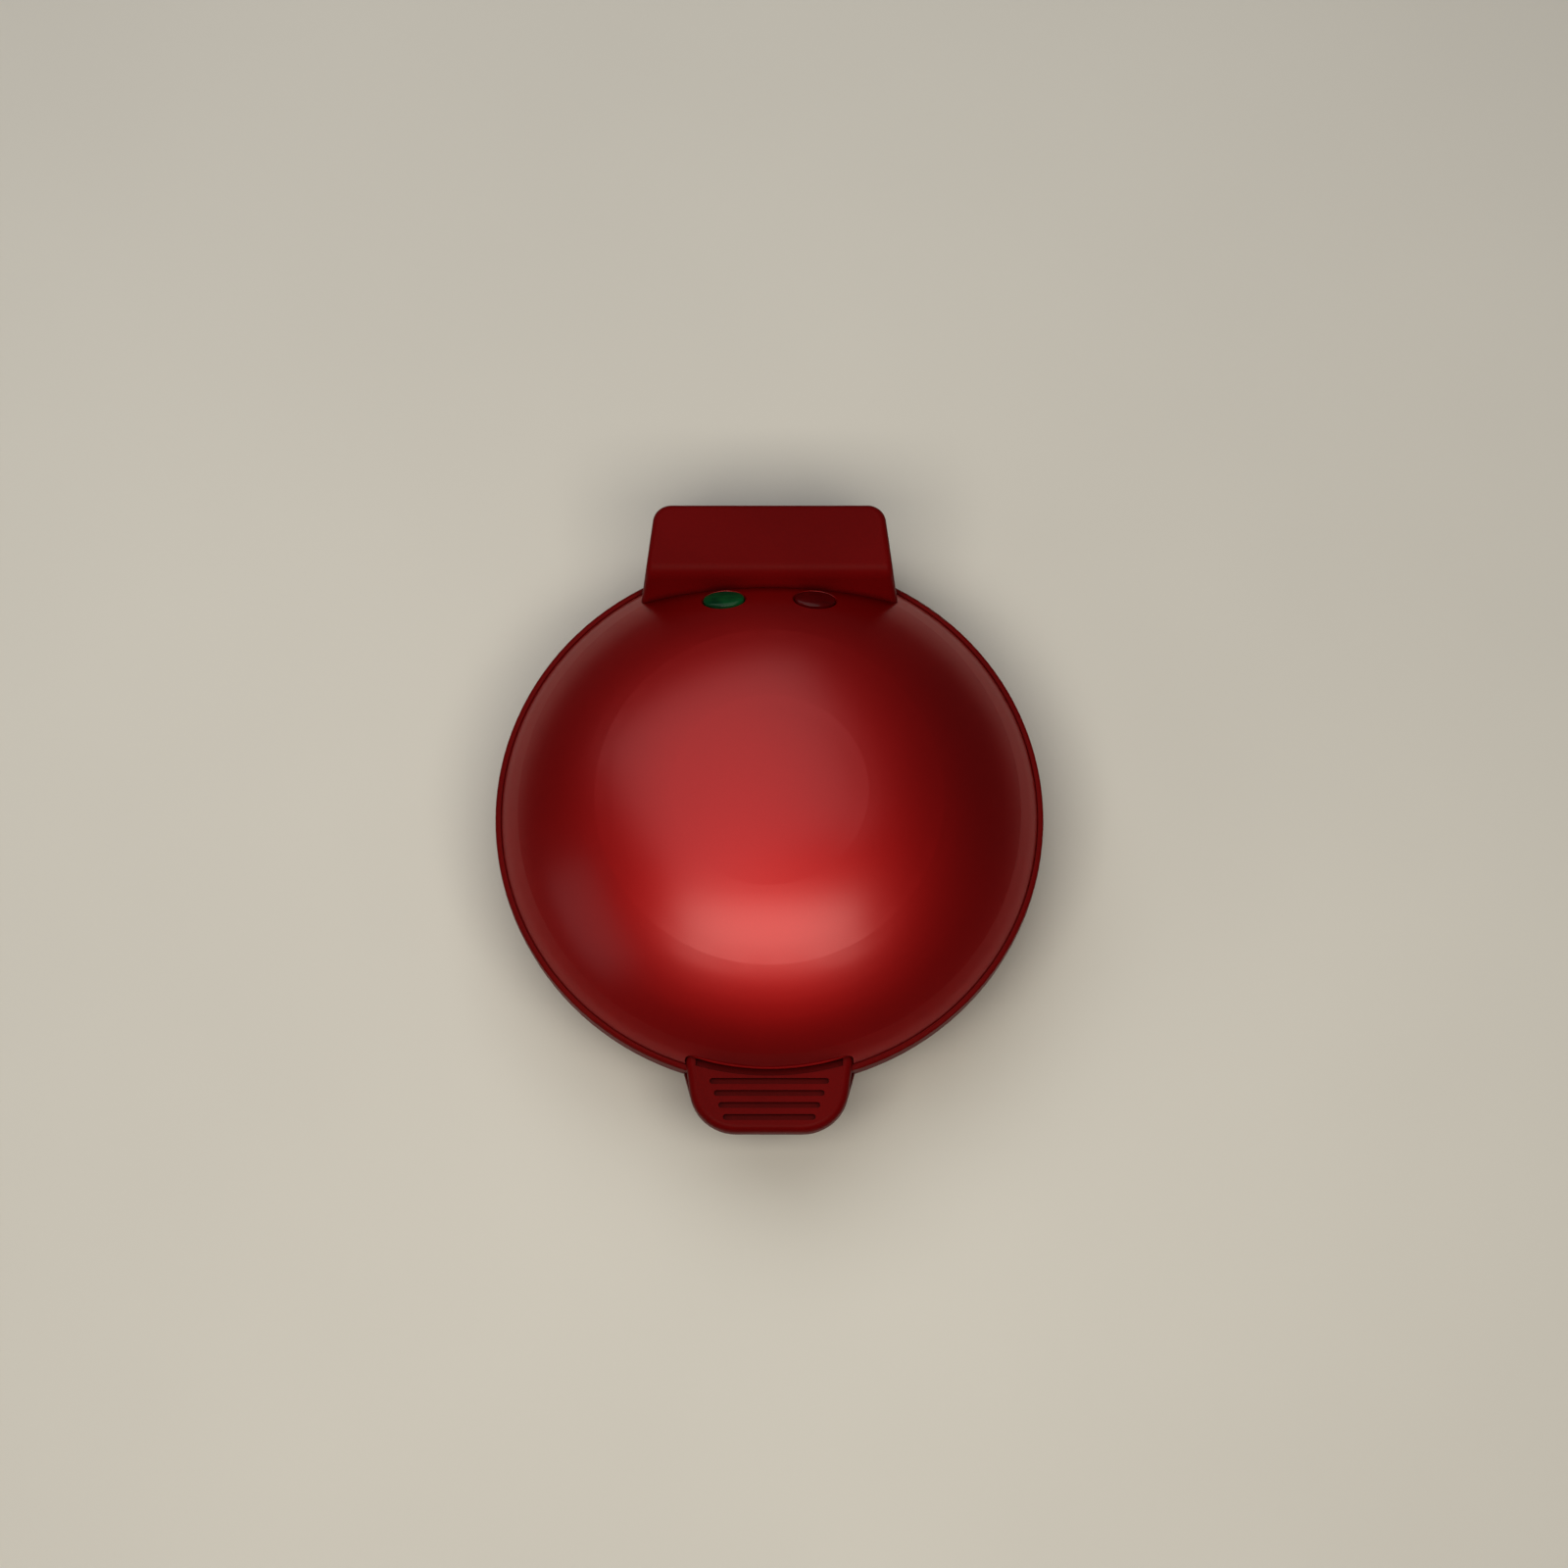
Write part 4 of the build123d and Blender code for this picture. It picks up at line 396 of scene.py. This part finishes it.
# =====================================================================================
# Outline of the dome: the CAD's tangent arcs, from the edge up to the crown
# =====================================================================================
class DomeArc:
    """One arc of the outline, between two tilts of its normal, whose outer end is at outer_z."""

    def __init__(self, reach_at, inner_tilt, outer_tilt, outer_z):
        self.inner_reach = reach_at(inner_tilt)
        width = reach_at(outer_tilt) - self.inner_reach
        self.radius = width / (sin(outer_tilt) - sin(inner_tilt))
        self.centre_r = self.inner_reach - self.radius * sin(inner_tilt)
        self.centre_z = outer_z - self.radius * cos(outer_tilt)
        self.inner_z = self.centre_z + self.radius * cos(inner_tilt)

    def height(self, reach):
        return self.centre_z + sqrt(self.radius**2 - (reach - self.centre_r) ** 2)

    def reach(self, height):
        return self.centre_r + sqrt(self.radius**2 - (height - self.centre_z) ** 2)

    def tilt(self, reach):
        """How far the outside's normal leans outwards."""
        return asin((reach - self.centre_r) / self.radius)


def make_dome_arcs():
    """The outline's arcs, the one at the edge first."""
    low = DOME_HALF_HEIGHT - DOME_RISE
    half_width = DOME_EDGE / sqrt(1 - (low / DOME_HALF_HEIGHT) ** 2)
    edge_tilt = atan2(DOME_EDGE / half_width**2, low / DOME_HALF_HEIGHT**2)

    def reach_at(tilt):
        """Distance from the disc axis at which the ellipse's normal leans outwards by tilt."""
        run = half_width * sin(tilt)
        return half_width * run / sqrt(run**2 + (DOME_HALF_HEIGHT * cos(tilt)) ** 2)

    arcs = []
    outer_z = DOME_EDGE_Z
    for index in reversed(range(DOME_ARC_COUNT)):
        inner_tilt = edge_tilt * index / DOME_ARC_COUNT
        outer_tilt = edge_tilt * (index + 1) / DOME_ARC_COUNT
        arcs.append(DomeArc(reach_at, inner_tilt, outer_tilt, outer_z))
        outer_z = arcs[-1].inner_z
    return arcs


DOME_ARCS = make_dome_arcs()


# =====================================================================================
# Pieces
# =====================================================================================
def ring_points(count):
    """Cosine and sine of count directions evenly round a circle."""
    return [(cos(2 * pi * index / count), sin(2 * pi * index / count)) for index in range(count)]


def bridge(mesh_data, low, high):
    """Faces between two closed loops of as many points."""
    for index in range(len(low)):
        following = (index + 1) % len(low)
        mesh_data.faces.new((low[index], low[following], high[following], high[index]))


def fan(mesh_data, loop, centre):
    """Triangles that close a loop over its centre."""
    for index in range(len(loop)):
        mesh_data.faces.new((loop[index], loop[(index + 1) % len(loop)], centre))


def finish_mesh(name, mesh_data, body, material, sharp_angle=None):
    """Turn a bmesh into a smooth-shaded piece on a body; edges over sharp_angle degrees stay sharp."""
    bmesh.ops.recalc_face_normals(mesh_data, faces=mesh_data.faces)
    mesh_data.normal_update()
    for face in mesh_data.faces:
        face.smooth = True
    for edge in mesh_data.edges:
        if sharp_angle and len(edge.link_faces) == 2:
            edge.smooth = edge.calc_face_angle(0.0) < radians(sharp_angle)
    mesh = bpy.data.meshes.new(name)
    mesh_data.to_mesh(mesh)
    mesh_data.free()
    mesh.materials.append(material)
    made = bpy.data.objects.new(name, mesh)
    bpy.context.scene.collection.objects.link(made)
    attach(made, body)
    return made


# ---- Signal lenses: each row is (share of the oval, distance outwards, height over the dome) ----
LENS_SIDES = 96
LENS_TOP = 1.30 * MM
LENS_FOOT = -5.0 * MM
LENS_FOOT_SHARE = 0.85
FLANGE_TOP = -2.15 * MM
FLANGE_BOTTOM = -3.35 * MM
FLANGE_WIDTH = 1.9 * MM
FLANGE_FLAT = 1.7 * MM  # its width inside the chamfers
FLANGE_CHAMFER = FLANGE_WIDTH - FLANGE_FLAT
LENS_CROWN = (
    (0.3, 0.0, 1.27 * MM),
    (0.6, 0.0, 1.16 * MM),
    (0.82, 0.0, 0.97 * MM),
    (1.0, -0.55 * MM, 0.70 * MM),
    (1.0, -0.22 * MM, 0.48 * MM),
    (1.0, -0.06 * MM, 0.22 * MM),
    (1.0, 0.0, -0.10 * MM),
)
LENS_SKIRT = (
    (1.0, 0.0, FLANGE_TOP),
    (1.0, FLANGE_FLAT, FLANGE_TOP),
    (1.0, FLANGE_WIDTH, FLANGE_TOP - FLANGE_CHAMFER),
    (1.0, FLANGE_WIDTH, FLANGE_BOTTOM + FLANGE_CHAMFER),
    (1.0, FLANGE_FLAT, FLANGE_BOTTOM),
    (1.0, 0.0, FLANGE_BOTTOM),
    (1.0, 0.0, LENS_FOOT),
    (LENS_FOOT_SHARE, 0.0, LENS_FOOT),
)


def lens_frame(side):
    """Matrix of the spot on the dome's outside: X level to the left, Z outwards."""
    arc = next(arc for arc in DOME_ARCS if LENS_CIRCLE >= arc.inner_reach)
    turn = radians(90 + side * LENS_ANGLE)
    tilt = arc.tilt(LENS_CIRCLE)
    z_axis = Vector((sin(tilt) * cos(turn), sin(tilt) * sin(turn), cos(tilt)))
    x_axis = z_axis.cross(Vector((0, 1, 0))).normalized()
    y_axis = z_axis.cross(x_axis)
    origin = Vector((LENS_CIRCLE * cos(turn), LENS_CIRCLE * sin(turn), arc.height(LENS_CIRCLE)))
    rotation = Matrix((x_axis, y_axis, z_axis)).transposed().to_4x4()
    return Matrix.Translation(origin) @ rotation


def signal_lens(side, name, node, slot):
    """Crowned oval lens with a soft edge, a skirt and a retaining flange."""
    placed = lens_frame(side)
    mesh_data = bmesh.new()

    def point(x, y, z):
        return mesh_data.verts.new(placed @ Vector((x, y, z)))

    top = point(0, 0, LENS_TOP)
    rows = []
    for share, outwards, height in LENS_CROWN + LENS_SKIRT:
        half_x = LENS_HALF_X * share + outwards
        half_y = LENS_HALF_Y * share + outwards
        rows.append([point(half_x * c, half_y * s, height) for c, s in ring_points(LENS_SIDES)])
    foot = point(0, 0, LENS_FOOT)
    fan(mesh_data, rows[0], top)
    for low, high in zip(rows, rows[1:]):
        bridge(mesh_data, low, high)
    fan(mesh_data, rows[-1], foot)
    made = finish_mesh(name, mesh_data, "lid", MATERIALS[slot], sharp_angle=50)
    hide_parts(node)


# ---- Rolled edge of the dome over the handle ----
BEAD_RADIUS = 0.6 * MM
BEAD_INSET = 0.1 * MM  # its centre line lies this far inside the dome's outline
BEAD_LIFT = 0.25 * MM  # and this far over the handle's top
BEAD_HALF_TURN = 17.2  # degrees each side of the front
BEAD_STEPS = 72
BEAD_SIDES = 12
BEAD_END_SHARE = 0.25  # of the radius, at its two ends
BEAD_TAPER_RUN = 0.125  # share of its length in which it grows to the full radius
BEAD_FIRST_REACH = 112.8 * MM


def handle_line(turn):
    """Radius and height at which the handle's sloping top meets the dome, at a turn from the front."""
    reach = BEAD_FIRST_REACH  # a first guess, which four rounds refine
    for _ in range(4):
        height = HANDLE_ROOT_TOP - HANDLE_FALL * (reach * cos(turn) - HANDLE_ROOT_REACH)
        reach = DOME_ARCS[0].reach(height)
    return reach, height


def dome_edge_bead():
    """Rolled edge of the dome where it is cut clear of the handle, in a lighter red that paints a
    highlight along it.
    """
    mesh_data = bmesh.new()
    upwards = Vector((0, 0, 1))
    rings = []
    for index in range(BEAD_STEPS + 1):
        turn = radians(BEAD_HALF_TURN) * (2 * index / BEAD_STEPS - 1)
        reach, height = handle_line(turn)
        outwards = Vector((sin(turn), -cos(turn), 0))
        centre = outwards * (reach - BEAD_INSET) + upwards * (height + BEAD_LIFT)
        from_end = min(index, BEAD_STEPS - index) / BEAD_STEPS
        grown = BEAD_END_SHARE + (1 - BEAD_END_SHARE) * from_end / BEAD_TAPER_RUN
        radius = BEAD_RADIUS * min(1.0, grown)
        spokes = [outwards * c + upwards * s for c, s in ring_points(BEAD_SIDES)]
        rings.append([mesh_data.verts.new(centre + radius * spoke) for spoke in spokes])
    for low, high in zip(rings, rings[1:]):
        bridge(mesh_data, low, high)
    mesh_data.faces.new(rings[0])
    mesh_data.faces.new(rings[-1])
    # Painted highlight: a copy of the red moulding, 1.5 times lighter, so that the edge shows as a
    # bright line.
    finish_mesh("dome_edge_bead", mesh_data, "lid", moulding_red("dome_edge_painted_highlight", 1.5))


# ---- Countersunk screws in the bezels; heights from the top of the head ----
SCREW_COUNT = 4
SCREW_FIRST_ANGLE = 45  # degrees
SCREW_SIDES = 32
SCREW_LENGTH = 7.0 * MM
HEAD_RADIUS = 2.8 * MM
HEAD_DEPTH = 1.3 * MM
SHANK_RADIUS = 1.5 * MM
POINT_RADIUS = 1.1 * MM
POINT_LENGTH = 0.4 * MM
RECESS_DEPTH = 1.15 * MM
RECESS_ARM = 1.55 * MM  # length of the cross recess's arms at its mouth
RECESS_HALF = 0.32 * MM  # their half width there
RECESS_ARM_SHARE = 0.55  # of that length, at its floor
RECESS_HALF_SHARE = 0.6  # of that half width, at its floor
SCREW_FIRST_TURN = 0.6  # radians; each screw was driven home at a turn of its own
SCREW_NEXT_TURN = 1.1


def cross_screw(mesh_data, placed):
    """Closed screw with a tapered cross recess, its head's top at local Z 0."""

    def point(x, y, z):
        return mesh_data.verts.new(placed @ Vector((x, y, z)))

    def ring(radius, z):
        return [point(radius * c, radius * s, z) for c, s in ring_points(SCREW_SIDES)]

    def cross(reach, width, z):
        outline = []
        for quarter in range(4):
            turned = Matrix.Rotation(pi / 2 * quarter, 3, "Z")
            for corner in ((reach, -width), (reach, width), (width, width)):
                outline.append(point(*(turned @ Vector((*corner, z)))))
        return outline

    def edges_of(loop):
        return [mesh_data.edges.new(pair) for pair in zip(loop, loop[1:] + loop[:1])]

    rim = ring(HEAD_RADIUS, 0)
    mouth = cross(RECESS_ARM, RECESS_HALF, 0)
    bmesh.ops.triangle_fill(mesh_data, use_beauty=True, edges=edges_of(rim) + edges_of(mouth))
    floor = cross(RECESS_ARM * RECESS_ARM_SHARE, RECESS_HALF * RECESS_HALF_SHARE, -RECESS_DEPTH)
    bridge(mesh_data, mouth, floor)
    mesh_data.faces.new(floor)
    neck = ring(SHANK_RADIUS, -HEAD_DEPTH)
    shank_end = ring(SHANK_RADIUS, POINT_LENGTH - SCREW_LENGTH)
    tip = ring(POINT_RADIUS, -SCREW_LENGTH)
    bridge(mesh_data, rim, neck)
    bridge(mesh_data, neck, shank_end)
    bridge(mesh_data, shank_end, tip)
    mesh_data.faces.new(tip)


def bezel_screws(name, node, body, z, facing):
    """One bezel's screws as one piece; facing is 1 for heads that look up and -1 for down."""
    mesh_data = bmesh.new()
    for index in range(SCREW_COUNT):
        angle = radians(SCREW_FIRST_ANGLE + 360 / SCREW_COUNT * index)
        spot = Vector((SCREW_CIRCLE * cos(angle), SCREW_CIRCLE * sin(angle), z))
        turned = Vector((0, 0, facing)).to_track_quat("Z", "Y").to_matrix().to_4x4()
        spin = Matrix.Rotation(SCREW_FIRST_TURN + SCREW_NEXT_TURN * index, 4, "Z")
        cross_screw(mesh_data, Matrix.Translation(spot) @ turned @ spin)
    steel = MATERIALS["screw_steel"]
    made = finish_mesh(name, mesh_data, body, steel, sharp_angle=40)
    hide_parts(node)


# =====================================================================================
# Stage, light and camera
# =====================================================================================
def floor_plane():
    """Plain pale floor, far wider than the view."""
    half = 6.0
    corners = [(-half, -half, 0), (half, -half, 0), (half, half, 0), (-half, half, 0)]
    mesh = bpy.data.meshes.new("floor")
    mesh.from_pydata(corners, [], [(0, 1, 2, 3)])
    made = bpy.data.objects.new("floor", mesh)
    bpy.context.scene.collection.objects.link(made)
    s = Shader("pale_floor", Specular_IOR_Level=0.2)
    cloud = s.noise(3, detail=3)
    s.colour(s.ramp(cloud, (0.3, (0.74, 0.72, 0.655)), (0.7, (0.78, 0.76, 0.69))))
    s.rough(s.spread(s.noise(20), 0.75, 0.85))
    mesh.materials.append(s.material)


def softbox(name, direction, distance, size, power, colour=(1, 1, 1)):
    """Area light that faces the disc's centre from a direction; distance and size in metres."""
    light = bpy.data.lights.new(name, "AREA")
    light.shape = "RECTANGLE"
    light.size, light.size_y = size
    light.energy = power
    light.color = colour
    made = bpy.data.objects.new(name, light)
    made.location = DISC_CENTRE + Vector(direction).normalized() * distance
    made.rotation_euler = Vector(direction).to_track_quat("Z", "Y").to_euler()
    made.visible_camera = False
    bpy.context.scene.collection.objects.link(made)


def studio():
    """A warm strip leaning forwards, a broad box leaning back, a weak fill and a dim world."""
    world = bpy.data.worlds.new("studio")
    world.use_nodes = True
    background = world.node_tree.nodes["Background"]
    background.inputs["Color"].default_value = (0.92, 0.95, 1.0, 1)
    background.inputs["Strength"].default_value = 0.05
    bpy.context.scene.world = world
    forwards, back = radians(23), radians(22)
    above_front = (0, -sin(forwards), cos(forwards))
    above_back = (-0.16, sin(back), cos(back))
    softbox("key", above_front, 1.25, (1.1, 0.42), 8.5, (1.0, 0.93, 0.82))
    softbox("overhead", above_back, 1.45, (1.5, 1.5), 9.0, (1.0, 0.98, 0.96))
    softbox("left_fill", (-1.0, -0.35, 0.55), 1.8, (1.0, 0.8), 1.5)
    bpy.context.scene.view_settings.view_transform = "Standard"


def camera():
    """Far, narrow view at the photograph's angle, with the photograph's scale at the object."""
    elevation = radians(73)
    distance = 4.0
    film = 36  # mm
    upwards = Vector((0, sin(elevation), cos(elevation)))  # up in the picture
    aim = DISC_CENTRE + Vector((AIM_RIGHT * PIXEL, 0, 0)) + AIM_UP * PIXEL * upwards
    data = bpy.data.cameras.new("camera")
    data.sensor_width = film
    data.lens = film * distance / (PHOTO_WIDTH * PIXEL)
    made = bpy.data.objects.new("camera", data)
    made.location = aim + distance * Vector((0, -cos(elevation), sin(elevation)))
    made.rotation_euler = (pi / 2 - elevation, 0, 0)
    bpy.context.scene.collection.objects.link(made)
    bpy.context.scene.camera = made


dress_nodes()
signal_lens(1, "green_lens_cover", "green_lens", "green_lens_plastic")
signal_lens(-1, "red_lens_cover", "red_lens", "red_lens_plastic")
dome_edge_bead()
bezel_screws("base_rim_screws", "base_bezel_screws", "base", SEAM_Z - BEZEL_SETBACK, 1)
bezel_screws("lid_rim_screws", "lid_bezel_screws", "lid", SEAM_Z + BEZEL_SETBACK, -1)
floor_plane()
studio()
camera()

bpy.context.view_layer.update()
